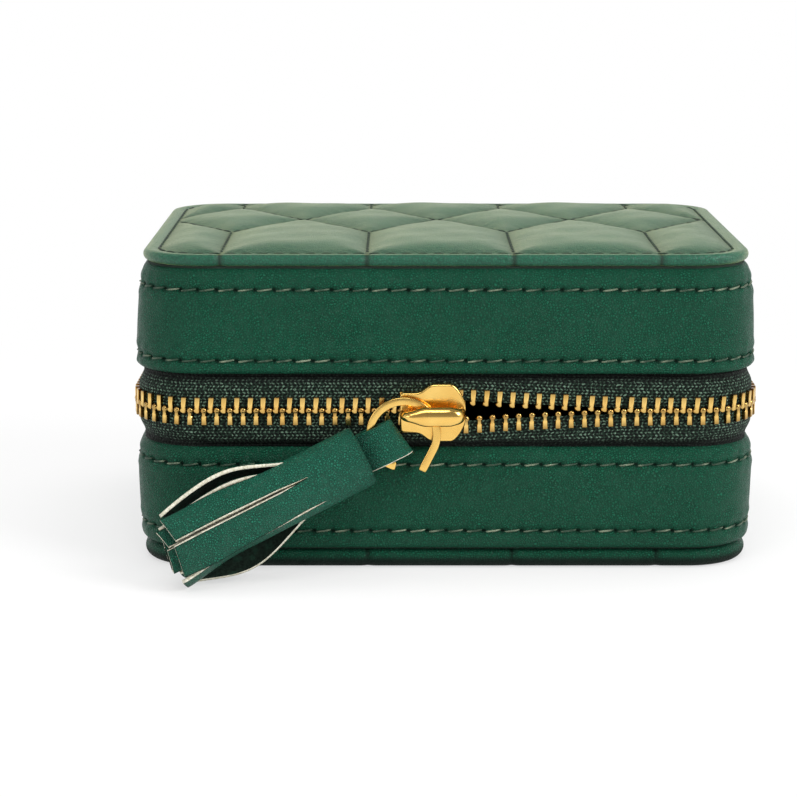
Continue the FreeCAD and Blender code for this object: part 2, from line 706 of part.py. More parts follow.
save("upper_zip_tape", tape(1, lid_mouth, lid_taper))
save("upper_zip_teeth", *tooth_row(1, 0.0))
save("upper_zip_stops", *end_stops(1))

# Slider, ring and tassel
save("slider_body", slider_body())
save("slider_bridge", slider_bridge())
save("pull_ring", pull_ring())
save("tassel_strap", strap())
save("tassel_head", tassel_head())
save("tassel_core", tassel_core())
for number, piece in enumerate(fringe_strips()):
    save(f"tassel_strip_{number + 1}", piece)
print("hinge axis y", mouth_depth / 2 + hinge_offset, "z", chain_z)
print("ring seat", ring_seat_point, "ring hold", ring_hold)
print("tassel swing axis", strap_across, "ring swing axis", ring_axis.cross(ring_to_seat))
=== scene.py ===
import json
from math import atan2, hypot, pi, radians, tau
import bpy
import numpy as np
from numpy import arange, clip, concatenate, cos, exp, linspace, maximum, sin, where
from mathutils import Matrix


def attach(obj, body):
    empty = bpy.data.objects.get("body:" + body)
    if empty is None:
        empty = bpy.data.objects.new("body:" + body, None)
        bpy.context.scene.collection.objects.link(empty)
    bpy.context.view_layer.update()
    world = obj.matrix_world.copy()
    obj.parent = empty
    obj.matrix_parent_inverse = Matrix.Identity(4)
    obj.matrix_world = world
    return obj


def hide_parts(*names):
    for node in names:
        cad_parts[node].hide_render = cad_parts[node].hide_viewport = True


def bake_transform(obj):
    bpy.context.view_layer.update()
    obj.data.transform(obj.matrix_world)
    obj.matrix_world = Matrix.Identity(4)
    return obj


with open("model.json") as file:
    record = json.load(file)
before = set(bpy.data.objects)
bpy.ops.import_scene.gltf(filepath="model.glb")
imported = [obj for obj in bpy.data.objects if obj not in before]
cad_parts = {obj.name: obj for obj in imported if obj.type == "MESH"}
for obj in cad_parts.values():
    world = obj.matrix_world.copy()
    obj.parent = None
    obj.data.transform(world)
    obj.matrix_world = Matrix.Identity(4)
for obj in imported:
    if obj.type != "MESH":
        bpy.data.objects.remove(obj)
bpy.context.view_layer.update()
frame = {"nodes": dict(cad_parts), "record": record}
MM = 0.001

# Sizes of the case in millimetres, as in the CAD model
WIDTH, DEPTH, CORNER = 122.0, 87.0, 13.5
HALF_X, HALF_Y = WIDTH / 2, DEPTH / 2
FOOT, SEAM, BAND, GAP, PANEL = 3.8, 0.3, 20.4, 14.4, 3.4
LID_TAPER, BASE_TAPER, SET_BACK, LEATHER = 1.2, 0.5, 0.4, 1.2
BASE_LOW = FOOT + SEAM
BASE_MOUTH = BASE_LOW + BAND
LID_MOUTH = BASE_MOUTH + GAP
LID_HIGH = LID_MOUTH + BAND
PANEL_LOW = LID_HIGH + SEAM
PANEL_TOP = PANEL_LOW + PANEL
CHAIN_Z = (BASE_MOUTH + LID_MOUTH) / 2
CHAIN_INSET, PITCH, HALF_CHAIN = 0.55, 2.54, 2.85
CHAIN_RADIUS = CORNER - CHAIN_INSET
FRONT_HALF = HALF_X - CORNER
SIDE_RUN = DEPTH - 2 * CORNER
QUARTER = CHAIN_RADIUS * pi / 2
SLIDER_X, SLIDER_MOUTH = -2.7, 6.4
RIM_DROP, FLOOR_THICK, CAVITY = 0.6, 2.8, 4.6
FLOOR_Z = BASE_LOW + FLOOR_THICK
CEILING_Z = LID_HIGH - FLOOR_THICK
POCKET, SEWN = 1.55, 5.0
HINGE_HALF, HINGE_Y = FRONT_HALF - 1.5, 43.8
FINE = 0.42  # step along the outline of what shows most


# Mesh helpers

def linked(name, data):
    obj = bpy.data.objects.new(name, data)
    bpy.context.collection.objects.link(obj)
    return obj


def piece(name, co, faces, mat, body, *replaced, slot="emerald_leather", uv=None, smooth=True, painted_shade=None,
          which=None, fill=None):
    """Piece that rides on a body, from points in millimetres and an array of quads. mat is one material or a
    list, and which gives each face its material's number. The mark of painted shade says how far each point
    is darkened, and fill is not used."""
    co = np.asarray(co, float).reshape(-1, 3)
    faces = np.asarray(faces, np.int32)
    count, sides = faces.shape
    mesh = bpy.data.meshes.new(name)
    mesh.vertices.add(len(co))
    mesh.vertices.foreach_set("co", (co * MM).ravel())
    mesh.loops.add(faces.size)
    mesh.loops.foreach_set("vertex_index", faces.ravel())
    mesh.polygons.add(count)
    mesh.polygons.foreach_set("loop_start", arange(count, dtype=np.int32) * sides)
    mesh.polygons.foreach_set("use_smooth", np.broadcast_to(smooth, count).copy())
    for one in mat if isinstance(mat, list) else [mat]:
        mesh.materials.append(one)
    if which is not None:
        mesh.polygons.foreach_set("material_index", np.asarray(which, np.int32))
    mesh.update(calc_edges=True)
    if uv is not None:
        corners = np.asarray(uv, float).reshape(-1, 2)[faces.ravel()]
        mesh.uv_layers.new(name="UVMap").data.foreach_set("uv", corners.ravel())
    # The mark of painted shade: how far each point is darkened as shade
    if painted_shade is not None:
        mark = mesh.attributes.new("painted_shade", "FLOAT", "POINT")
        mark.data.foreach_set("value", np.asarray(painted_shade, np.float32).ravel())
    mesh.validate()
    obj = linked(name, mesh)
    if body:
        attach(obj, body)
    if replaced:
        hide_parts(*replaced)
    return obj


def grid_faces(rows, cols, wrap_rows=False, wrap_cols=False):
    """Quads of a grid of points stored row by row."""
    r = arange(rows if wrap_rows else rows - 1)
    c = arange(cols if wrap_cols else cols - 1)
    r, c = np.meshgrid(r, c, indexing="ij")
    r2, c2 = (r + 1) % rows, (c + 1) % cols
    return np.stack([r * cols + c, r * cols + c2, r2 * cols + c2, r2 * cols + c], axis=-1).reshape(-1, 4)


def joined(parts):
    """Several (points, quads) as one."""
    bases = np.cumsum([0] + [len(points) for points, quads in parts])
    return (concatenate([points for points, quads in parts]),
            concatenate([quads + base for (points, quads), base in zip(parts, bases)]))


def repeated(faces, count, size):
    """The quads of one copy for count copies of size points each."""
    return (faces + (arange(count) * size)[:, None, None]).reshape(-1, 4)


def vec(*parts):
    """Points from their coordinates."""
    return np.stack(np.broadcast_arrays(*(np.asarray(part, float) for part in parts)), axis=-1)


def unit(v):
    return np.asarray(v, float) / np.linalg.norm(v, axis=-1, keepdims=True)


def ease(t):
    t = clip(t, 0, 1)
    return t * t * (3 - 2 * t)


def bell(x, width):
    return exp(-(x / width) ** 2)


def looped(there, back):
    return concatenate([there, back[..., ::-1]], axis=-1)


def smooth_path(points, per_span):
    """Rounded line through the points, with the same number of steps in each span."""
    p = np.asarray(points, float)
    p = concatenate([[2 * p[0] - p[1]], p, [2 * p[-1] - p[-2]]])
    t = (arange(per_span) / per_span)[None, :, None]
    a, b, c, d = p[:-3, None], p[1:-2, None], p[2:-1, None], p[3:, None]
    line = 2 * b + (c - a) * t + (2 * a - 5 * b + 4 * c - d) * t ** 2 + (3 * b - a - 3 * c + d) * t ** 3
    return concatenate([0.5 * line.reshape(-1, p.shape[1]), p[-2:-1]])


def offset_line(line, thick):
    """The two coordinates of a flat line's points, each moved across the line by every thickness."""
    heading = unit(np.gradient(line, axis=0))
    return line[:, :1] - heading[:, 1:] * thick, line[:, 1:] + heading[:, :1] * thick


def facing_out(co, faces):
    """The closed shape with its quads turned outwards."""
    a, b, c, d = (co[faces[:, k]] for k in range(4))
    volume = np.einsum("ij,ij->i", a, np.cross(b, c) + np.cross(c, d)).sum()
    return co, faces if volume > 0 else faces[:, ::-1]


def closed_tube(rings):
    """Points and quads of rings of points, closed at both ends."""
    rings = np.asarray(rings)
    ends = rings[[0, -1]]
    middle = ends.mean(axis=1, keepdims=True)
    first, last = middle + (ends - middle) * 0.01
    rings = concatenate([first[None], rings, last[None]])
    return facing_out(rings.reshape(-1, 3), grid_faces(*rings.shape[:2], wrap_cols=True))


# Outline of the case

def ring_points(half_x, half_y, radius, step):
    """Rounded rectangle from the front's middle, anticlockwise: points, normals, lengths along, total."""
    front, bend, side = (max(2, int(run / step)) for run in (2 * FRONT_HALF, CORNER * pi / 2, SIDE_RUN))
    x, y = half_x - radius, half_y - radius
    corners = ((x, -y), (x, y), (-x, y), (-x, -y))
    runs = ((front // 2, (0, -half_y), (x, -half_y)), (side, (half_x, -y), (half_x, y)),
            (front, (x, half_y), (-x, half_y)), (side, (-half_x, y), (-half_x, -y)),
            (front // 2, (-x, -half_y), (0, -half_y)))
    lines = []
    for index, (count, start, end) in enumerate(runs):
        facing = pi / 2 * (index - 1)
        normal = np.round((cos(facing), sin(facing)))
        t = arange(count)[:, None] / count
        lines.append(np.hstack([start + np.subtract(end, start) * t, np.tile(normal, (count, 1))]))
        if index < len(corners):
            a = facing + arange(bend) / bend * pi / 2
            normal = vec(cos(a), sin(a))
            lines.append(np.hstack([corners[index] + radius * normal, normal]))
    x, y, nx, ny = concatenate(lines).T
    gaps = np.hypot(np.diff(x, append=x[:1]), np.diff(y, append=y[:1]))
    return x, y, nx, ny, np.cumsum(gaps) - gaps, gaps.sum()


def along_outline(outline, count):
    """Evenly spaced points on an outline and the directions out of it."""
    *parts, s, total = outline
    k = (arange(count) + 0.5) * total / count
    x, y, nx, ny = (np.interp(k, s, part) for part in parts)
    return vec(x, y), unit(vec(nx, ny))


def chain_frame(s):
    """Plan point and turn of the chain at distance s from the front's middle."""
    side, d = where(s < 0, -1.0, 1.0), np.abs(s) - FRONT_HALF
    past = d - QUARTER - SIDE_RUN
    turn = (clip(d, 0, QUARTER) + clip(past, 0, QUARTER)) / CHAIN_RADIUS
    x = FRONT_HALF + clip(d, None, 0) + CHAIN_RADIUS * sin(turn) - clip(past - QUARTER, 0, None)
    y = clip(d - QUARTER, 0, SIDE_RUN) - SIDE_RUN / 2 - CHAIN_RADIUS * cos(turn)
    return side * x, y, side * turn


def row_shift(s):
    """How far each row of teeth is parted: rising inside the slider, then closing slowly."""
    s = s - SLIDER_X
    tail = clip(1 - (s - SLIDER_MOUTH) / 42.0, 0, 1) ** 1.6
    return 1.65 * where(s <= SLIDER_MOUTH, ease((s + 2.0) / 8.4), tail)


# Materials

def linear(rgb, share=1, lift=0):
    """Linear colour from levels of 0 to 255, darkened or lightened."""
    c = np.minimum(np.array(rgb) * share + lift, 255) / 255
    return (*where(c <= 0.04045, c / 12.92, ((c + 0.055) / 1.055) ** 2.4).tolist(), 1)


class Nodes:
    """Short hand for building the shader of a material or a world."""

    def __init__(self, owner):
        owner.use_nodes = True
        self.owner, self.tree = owner, owner.node_tree
        self.shader = self.tree.nodes.get("Principled BSDF")

    def feed(self, socket, value):
        if isinstance(value, bpy.types.NodeSocket):
            self.tree.links.new(value, socket)
        else:
            socket.default_value = value

    def add(self, kind, links=None, **settings):
        node = self.tree.nodes.new("ShaderNode" + kind)
        for key, value in settings.items():
            setattr(node, key, value)
        for socket, value in (links or {}).items():
            self.feed(node.inputs[socket], value)
        return node.outputs

    def coords(self, scale=(1, 1, 1), kind="Object"):
        return self.add("Mapping", {"Vector": self.add("TexCoord")[kind], "Scale": scale})["Vector"]

    def noise(self, vector, scale, detail=3, rough=0.5, warp=0):
        return self.add("TexNoise", {"Vector": vector, "Scale": scale, "Detail": detail, "Roughness": rough,
                                     "Distortion": warp})["Fac"]

    def math(self, operation, a, b=0, clamp=False):
        return self.add("Math", {0: a, 1: b}, operation=operation, use_clamp=clamp)[0]

    def mul(self, a, b):
        return self.math("MULTIPLY", a, b)

    def plus(self, a, b, clamp=False):
        return self.math("ADD", a, b, clamp)

    def ramp(self, fac, low, high, a=0, b=1):
        return self.add("MapRange", {"Value": fac, "From Min": low, "From Max": high, "To Min": a,
                                     "To Max": b})["Result"]

    def mix(self, fac, a, b):
        return self.add("Mix", {0: fac, 6: a, 7: b}, data_type="RGBA")[2]

    def bump(self, height, distance, strength):
        return self.add("Bump", {"Height": height, "Distance": distance, "Strength": strength})["Normal"]

    # Reads the mark of painted shade that the pieces carry
    def painted_shade(self):
        return self.add("Attribute", attribute_name="painted_shade")["Fac"]

    def seen(self):
        """1 for rays that show what they hit, as the camera's do, and the camera's alone."""
        path = self.add("LightPath")
        rays = self.plus(path["Is Camera Ray"], path["Is Glossy Ray"])
        return self.plus(rays, path["Is Transmission Ray"], clamp=True), path["Is Camera Ray"]

    def finish(self, **inputs):
        for name, value in inputs.items():
            self.feed(self.shader.inputs[name.replace("_", " ")], value)
        return self.owner


def material(name):
    return Nodes(bpy.data.materials.new(name))


def leather_material(name, colour, dark, rough=0.38, grain=1, shine=0.15, sheen=0, relief=0.00024,
                     painted_glint=0.42, patchy=0.55):
    """Grained leather: pebbles between fine creases, slow mottling, painted glints on the pebbles, and
    painted shade where the piece is marked: at stitch holes, seams and tucked edges.
    """
    n = material(name)
    at = n.coords()
    drift = n.add("TexNoise", {"Vector": at, "Scale": 700})["Color"]
    drift = n.add("VectorMath", {0: drift, "Scale": 0.0007}, operation="SCALE")[0]
    warped = n.add("VectorMath", {0: at, 1: drift}, operation="ADD")[0]
    cell = n.add("TexVoronoi", {"Vector": warped, "Scale": 2100.0 * grain},
                 feature="DISTANCE_TO_EDGE")["Distance"]
    pebble = n.ramp(cell, 0, 0.3)
    fine = n.noise(at, 6200, 2)
    mottle = n.noise(at, 55, 4)
    patch = n.noise(at, 420)
    height = n.plus(n.mul(pebble, n.ramp(patch, 0.3, 0.7, 1.0 - patchy, 1)), n.mul(fine, 0.35))
    painted_shade = n.painted_shade()
    tone = n.mix(n.ramp(mottle, 0.3, 0.7, 0, 0.45), linear(colour), linear(dark))
    # Creases between the pebbles darker: the grain's own tone, deepened with painted shade
    tone = n.mix(n.ramp(pebble, 0, 0.7, 0.6, 0), tone, linear(dark, 0.5))
    # Painted highlight: glints that lighten the pebbles' tops
    glint = n.mul(n.ramp(pebble, 0.5, 1), n.ramp(patch, 0.42, 0.7))
    tone = n.mix(n.mul(glint, painted_glint), tone, linear(colour, 1.3, 16))
    # Painted shade from the piece's mark, towards a near black green
    tone = n.mix(painted_shade, tone, linear((6, 15, 10)))
    gloss = n.ramp(patch, 0.3, 0.7, rough - 0.1 * patchy, rough + 0.12 * patchy)
    return n.finish(Base_Color=tone, Roughness=n.plus(gloss, n.mul(painted_shade, 0.3)), Specular_IOR_Level=shine,
                    Sheen_Weight=sheen, Sheen_Roughness=0.35, Sheen_Tint=linear((248, 250, 172)),
                    Normal=n.bump(height, relief, 0.9))


def thread_material(name, *tones):
    """Twisted sewing thread, read from the length along the stitch: two tones of lows, in the twist's
    grooves and partly painted shade, and two of highs; the brighter of each pair is a painted glint.
    """
    n = material(name)
    twist = n.add("TexWave", {"Vector": n.coords(kind="UV"), "Scale": 1, "Distortion": 0},
                  bands_direction="DIAGONAL")["Fac"]
    # Painted highlight: patches where the thread takes its bright tones
    glint = n.ramp(n.noise(n.coords(), 330, 2), 0.45, 0.7)
    low, bright_low, high, bright_high = map(linear, tones)
    tone = n.mix(twist, n.mix(glint, low, bright_low), n.mix(glint, high, bright_high))
    return n.finish(Base_Color=tone, Roughness=0.5, Normal=n.bump(twist, 0.0001, 0.6))


def tape_material():
    """Woven tape in herringbone columns, read from the lengths along and across the tape."""
    n = material("zip_tape_weave")
    at = n.coords()
    uv = n.add("SeparateXYZ", {"Vector": n.add("TexCoord")["UV"]})
    u, v = uv["X"], uv["Y"]
    stray = n.noise(at, 1500, 2)
    column = n.math("PINGPONG", v, 0.75)
    slant = n.plus(n.plus(u, n.mul(column, 0.7)), n.mul(stray, 1.1))
    rib = n.math("SINE", n.mul(slant, tau / 0.84))
    row = n.math("SINE", n.mul(n.plus(v, n.mul(stray, 0.25)), tau / 0.62))
    fuzz = n.noise(at, 5200, 3, 0.6)
    height = n.plus(n.plus(n.mul(rib, 0.32), n.mul(row, 0.26)), n.mul(fuzz, 0.55))
    # Darker in the weave's hollows: partly the weave's own pattern, partly painted shade
    tone = n.mix(n.ramp(height, 0, 0.5), linear((3, 9, 6)), linear((24, 46, 33)))
    # Painted highlight: glints on the weave's raised threads
    glint = n.mul(n.ramp(height, 0.36, 0.62), n.ramp(n.noise(at, 1700, 2), 0.42, 0.6))
    tone = n.mix(glint, tone, linear((112, 140, 120)))
    # Painted shade from the piece's mark, where the tape runs in under the leather's edge
    tone = n.mix(n.painted_shade(), tone, linear((2, 6, 4)))
    return n.finish(Base_Color=tone, Roughness=0.7, Specular_IOR_Level=0.2,
                    Normal=n.bump(height, 0.0002, 1))


def gold_material(name, colour, deep, rough):
    """Plated metal: slow tone changes, a fine polish, and painted shade where the piece is marked."""
    n = material(name)
    wear = n.noise(n.coords(), 260, 4)
    fine = n.noise(n.coords((1, 1, 4)), 3200, 2)
    tone = n.mix(n.ramp(wear, 0.35, 0.7, 0, 0.5), linear(colour), linear(deep))
    # Painted shade and painted dark reflection from the piece's mark, in a dark brown
    tone = n.mix(n.painted_shade(), tone, linear((78, 40, 10)))
    return n.finish(Base_Color=tone, Metallic=1, Normal=n.bump(fine, 0.000006, 0.3),
                    Roughness=n.ramp(wear, 0.3, 0.7, rough - 0.04, rough + 0.08))


def velvet_material(name, colour):
    n = material(name)
    at = n.coords()
    nap = n.noise(at, 150, 4, 0.5, 0.6)
    pile = n.noise(at, 6500, 1)
    tone = n.mix(n.ramp(nap, 0.35, 0.65), linear(colour), linear(colour, 0.62))
    tone = n.mix(n.ramp(pile, 0.4, 0.7, 0, 0.25), tone, linear(colour, 1.5))
    # Painted shade from the piece's mark
    tone = n.mix(n.painted_shade(), tone, linear((4, 12, 9)))
    return n.finish(Base_Color=tone, Roughness=0.95, Specular_IOR_Level=0.1, Sheen_Weight=0.5,
                    Sheen_Roughness=0.35, Sheen_Tint=linear((120, 190, 160)),
                    Normal=n.bump(pile, 0.0001, 0.6))


def board_material():
    """Dark green fibreboard of the hidden walls."""
    n = material("fibreboard")
    fibre = n.noise(n.coords((1, 1, 5)), 900, 4)
    tone = n.mix(fibre, linear((14, 26, 20)), linear((34, 52, 42)))
    return n.finish(Base_Color=tone, Roughness=0.9, Normal=n.bump(n.noise(n.coords(), 2400), 0.0001, 0.5))


def mirror_material():
    n = material("mirror_glass")
    haze = n.noise(n.coords(), 40, 2)
    return n.finish(Base_Color=(0.86, 0.88, 0.88, 1), Metallic=1,
                    Roughness=n.ramp(haze, 0.3, 0.7, 0.01, 0.03))


def flesh_material(name, light, shade):
    """Cut edge or back of the leather: fibres in two tones, pale for the cut edge and dark with painted
    shade for the back.
    """
    n = material(name)
    at = n.coords()
    fibre = n.noise(at, 1900, 4)
    tone = n.mix(n.ramp(fibre, 0.35, 0.65), linear(light), linear(shade))
    tone = n.mix(n.ramp(n.noise(at, 330), 0.55, 0.72, 0, 0.55), tone, linear((40, 82, 64)))
    return n.finish(Base_Color=tone, Roughness=0.85, Specular_IOR_Level=0.2,
                    Normal=n.bump(fibre, 0.0001, 0.5))


leather = leather_material("band_leather", (18, 84, 61), (10, 66, 46))
quilt_leather = leather_material("quilt_leather", (20, 96, 71), (14, 82, 60), rough=0.31, shine=0.42,
                                 sheen=0.39, relief=0.00006, painted_glint=0.2, patchy=0.1)
tassel_leather = leather_material("tassel_leather", (24, 100, 78), (14, 78, 58), rough=0.4, grain=1.05,
                                  shine=0.25, relief=0.0003, painted_glint=0.6)
# The second and fourth tones of each thread are painted glints
thread = thread_material("thread", (24, 50, 36), (72, 94, 72), (72, 100, 78), (192, 202, 172))
quilt_thread = thread_material("quilt_thread", (6, 16, 9), (16, 34, 20), (34, 60, 36), (62, 92, 60))
tape_cloth = tape_material()
gold = gold_material("gold_plate", (250, 208, 118), (240, 184, 90), 0.17)
tooth_gold = gold_material("gold_teeth", (252, 214, 128), (238, 180, 88), 0.2)
velvet = velvet_material("velvet", (22, 66, 50))
cut_edge = flesh_material("cut_edge", (240, 236, 220), (196, 192, 168))
# Back of the strips and the core roll: the suede back's own darker tone, deepened with painted shade
leather_back_painted_shade = flesh_material("leather_back_painted_shade", (34, 52, 42), (16, 28, 22))
CARRIED = {"gold_metal": gold, "velvet": velvet, "emerald_leather": leather, "zip_tape": tape_cloth,
           "fibreboard": board_material(), "mirror_glass": mirror_material()}


# Stitches

def stitches(name, body, centres, along, out, mat, length, radius, slant, sink):
    """Row of sewn stitches: each a short twisted thread that dips into its two holes."""
    count, rings, sides = len(centres), 9, 8
    t = linspace(-0.5, 0.5, rings)
    a = arange(sides) / sides * tau
    run = (t * length)[:, None]
    rise = 0.30 * (1 - (2 * t) ** 4) - sink
    fat = radius * (1 - 0.35 * (2 * np.abs(t)) ** 5)
    along, across, out = along[:, None], np.cross(out, along)[:, None], out[:, None]
    centre = centres[:, None] + along * run + across * run * slant + out * rise[:, None]
    ring = across[:, None] * cos(a)[:, None] + out[:, None] * sin(a)[:, None]
    uv = np.broadcast_to(vec(run * 6, a / pi * 3), (count, rings, sides, 2))
    piece(name, centre[:, :, None] + ring * fat[:, None, None],
          repeated(grid_faces(rings, sides, wrap_cols=True), count, rings * sides), mat, body, uv=uv)


# Leather side bands

STITCH_PITCH, STITCH_LEAN = 3.7, 0.14
TURNED, SWELL, SHOULDER, SHOULDER_RUN = 0.95, 0.32, 0.8, 5.0


def wander(s, z):
    """Slow unevenness of hand-turned leather."""
    return 0.07 * (0.5 * sin(s * 0.11 + z * 0.23) + 0.3 * sin(s * 0.31 - z * 0.41 + 1.7)
                   + 0.2 * sin(s * 0.73 + z * 0.2))


def make_band(name, node, body, low_z, high_z, low_inset, high_inset, rows):
    """Band with turned edges, sunk stitch rows, punched holes and sewn thread."""
    def side(z):
        share = clip((z - low_z) / (high_z - low_z), 0, 1)
        shoulder = SHOULDER * clip((z - high_z + SHOULDER_RUN) / SHOULDER_RUN, 0, 1) ** 2
        return low_inset + (high_inset - low_inset) * share + shoulder, SWELL * sin(pi * share) ** 0.8

    outline = ring_points(HALF_X, HALF_Y, CORNER, FINE)
    x, y, nx, ny = (part[:, None] for part in outline[:4])
    s, total = outline[4:]
    r, tuck = TURNED, LEATHER * 0.9
    face_z = linspace(low_z + r, high_z - r, 58)
    q = linspace(0, pi / 2, 7)[1:]
    z = concatenate([[low_z + 0.3, low_z], low_z + r - r * cos(q[:-1]), face_z, high_z - r + r * sin(q),
                     [high_z, high_z - 0.3]])
    edge = concatenate([[LEATHER, tuck], r - r * sin(q[:-1]), np.zeros(len(face_z)), r - r * cos(q),
                        [tuck, LEATHER]])
    inset, swell = side(z)
    count = round(total / STITCH_PITCH)
    pitch = total / count
    S, Z = np.meshgrid(s, z, indexing="ij")
    push = swell + wander(S, Z)
    hole_and_groove_shade = np.zeros_like(S)
    along = ((S / pitch + 0.5) % 1 - 0.5) * pitch
    for row_z in rows:
        dz = Z - row_z
        push -= 0.34 * bell(dz, 0.75) * (0.75 + 0.25 * cos(tau * S / pitch))
        push += 0.12 * bell(np.abs(dz) - 1.7, 0.8)
        push += 0.05 * bell(dz, 3.0) * sin(tau * (S / pitch - dz * 0.1))
        dent = bell(along, 0.45) * bell(dz + STITCH_LEAN * 0.15, 0.42)
        push -= 0.5 * dent
        # Painted shade in the punched holes and along the sunk stitch row
        hole_and_groove_shade = maximum(hole_and_groove_shade, maximum(clip(dent * 1.6 - 0.15, 0, 1), 0.32 * bell(dz, 0.38)))
    face = edge < 0.6
    off = push * face - inset - edge
    # The mark also paints shade on the turned edges
    piece(name, vec(x + nx * off, y + ny * off, Z), grid_faces(*Z.shape, wrap_rows=True), leather,
          body, node, painted_shade=maximum(hole_and_groove_shade * face, where(edge > 0.8, 0.8, 0.0)))
    points, out = along_outline(outline, count)
    out = vec(*out.T, 0)
    for number, row_z in enumerate(rows, 1):
        inset, swell = side(row_z)
        stitches(f"{name}_stitches_{number}", body, vec(*points.T, row_z) - out * (inset - swell + 0.26),
                 vec(-out[:, 1], out[:, 0], 0), out, thread, length=2.9, radius=0.18, slant=STITCH_LEAN,
                 sink=0.14)


make_band("lid_band_leather", "lid_band", "lid", LID_MOUTH, LID_HIGH, 0.0, LID_TAPER,
          rows=(LID_MOUTH + 2.6, LID_HIGH - 4.1))
make_band("base_band_leather", "base_band", "base", BASE_LOW, BASE_MOUTH, BASE_TAPER, 0.0,
          rows=(BASE_MOUTH - 3.5, BASE_LOW + 3.6))


# Quilted panels

QUILT = 28.3
QUILT_X, QUILT_FRONT, QUILT_MID, QUILT_BACK = -1.2, -7.0, 12.5, 32.0
BORDER, QUILT_STITCH = 3.2, 3.1


def seams():
    """Start, heading and length of each straight quilting seam."""
    lines = []
    for index in range(-3, 3):
        x = QUILT_X + (index + 0.5) * QUILT
        lines += [(x, -HALF_Y, x, QUILT_FRONT), (x, QUILT_BACK, x, HALF_Y)]
        for crossing in (x - QUILT / 2, x + QUILT / 2):
            lines += [(x, QUILT_FRONT, crossing, QUILT_MID), (x, QUILT_BACK, crossing, QUILT_MID)]
    start, end = np.array(lines).reshape(-1, 2, 2).transpose(1, 0, 2)
    size = np.hypot(*(end - start).T)
    return zip(start, (end - start) / size[:, None], size)


def seam_distance(X, Y):
    """Distance to the nearest quilting seam, closeness to all of them, and the place along the nearest."""
    best, along, close = np.full(X.shape, 1e9), np.zeros(X.shape), np.zeros(X.shape)
    for (x, y), (dx, dy), size in seams():
        t = clip((X - x) * dx + (Y - y) * dy, 0, size)
        d = np.hypot(X - x - t * dx, Y - y - t * dy)
        along = where(d < best, t, along)
        best = np.minimum(best, d)
        close += maximum(d, 1e-3) ** -4.0
    return best, close, along


def pillow(d, reach):
    return 1 - (1 - clip(d / reach, 0, 1)) ** 2


def panel_thread(name, body, half_x, half_y, radius, seam_z, up):
    """Thread in the quilting seams and the border seam."""
    centres, headings = [], []
    for start, heading, size in seams():
        n = max(1, int(size / QUILT_STITCH))
        centres.append(start + heading * ((arange(n) + 0.5) * size / n)[:, None])
        headings.append(np.tile(heading, (n, 1)))
    centres, headings = concatenate(centres), concatenate(headings)
    over = clip(np.abs(centres) - (half_x - radius, half_y - radius), 0, None)
    keep = np.hypot(*over.T) < radius - BORDER - 0.6
    outline = ring_points(half_x - BORDER, half_y - BORDER, radius - BORDER, FINE)
    border, out = along_outline(outline, round(outline[-1] / QUILT_STITCH))
    centres = concatenate([centres[keep], border])
    headings = concatenate([headings[keep], vec(-out[:, 1], out[:, 0])])
    stitches(f"{name}_stitches", body, vec(*centres.T, seam_z), vec(*headings.T, 0),
             np.tile([0.0, 0.0, up], (len(centres), 1)), quilt_thread, length=2.6, radius=0.28, slant=0.10,
             sink=0.24)


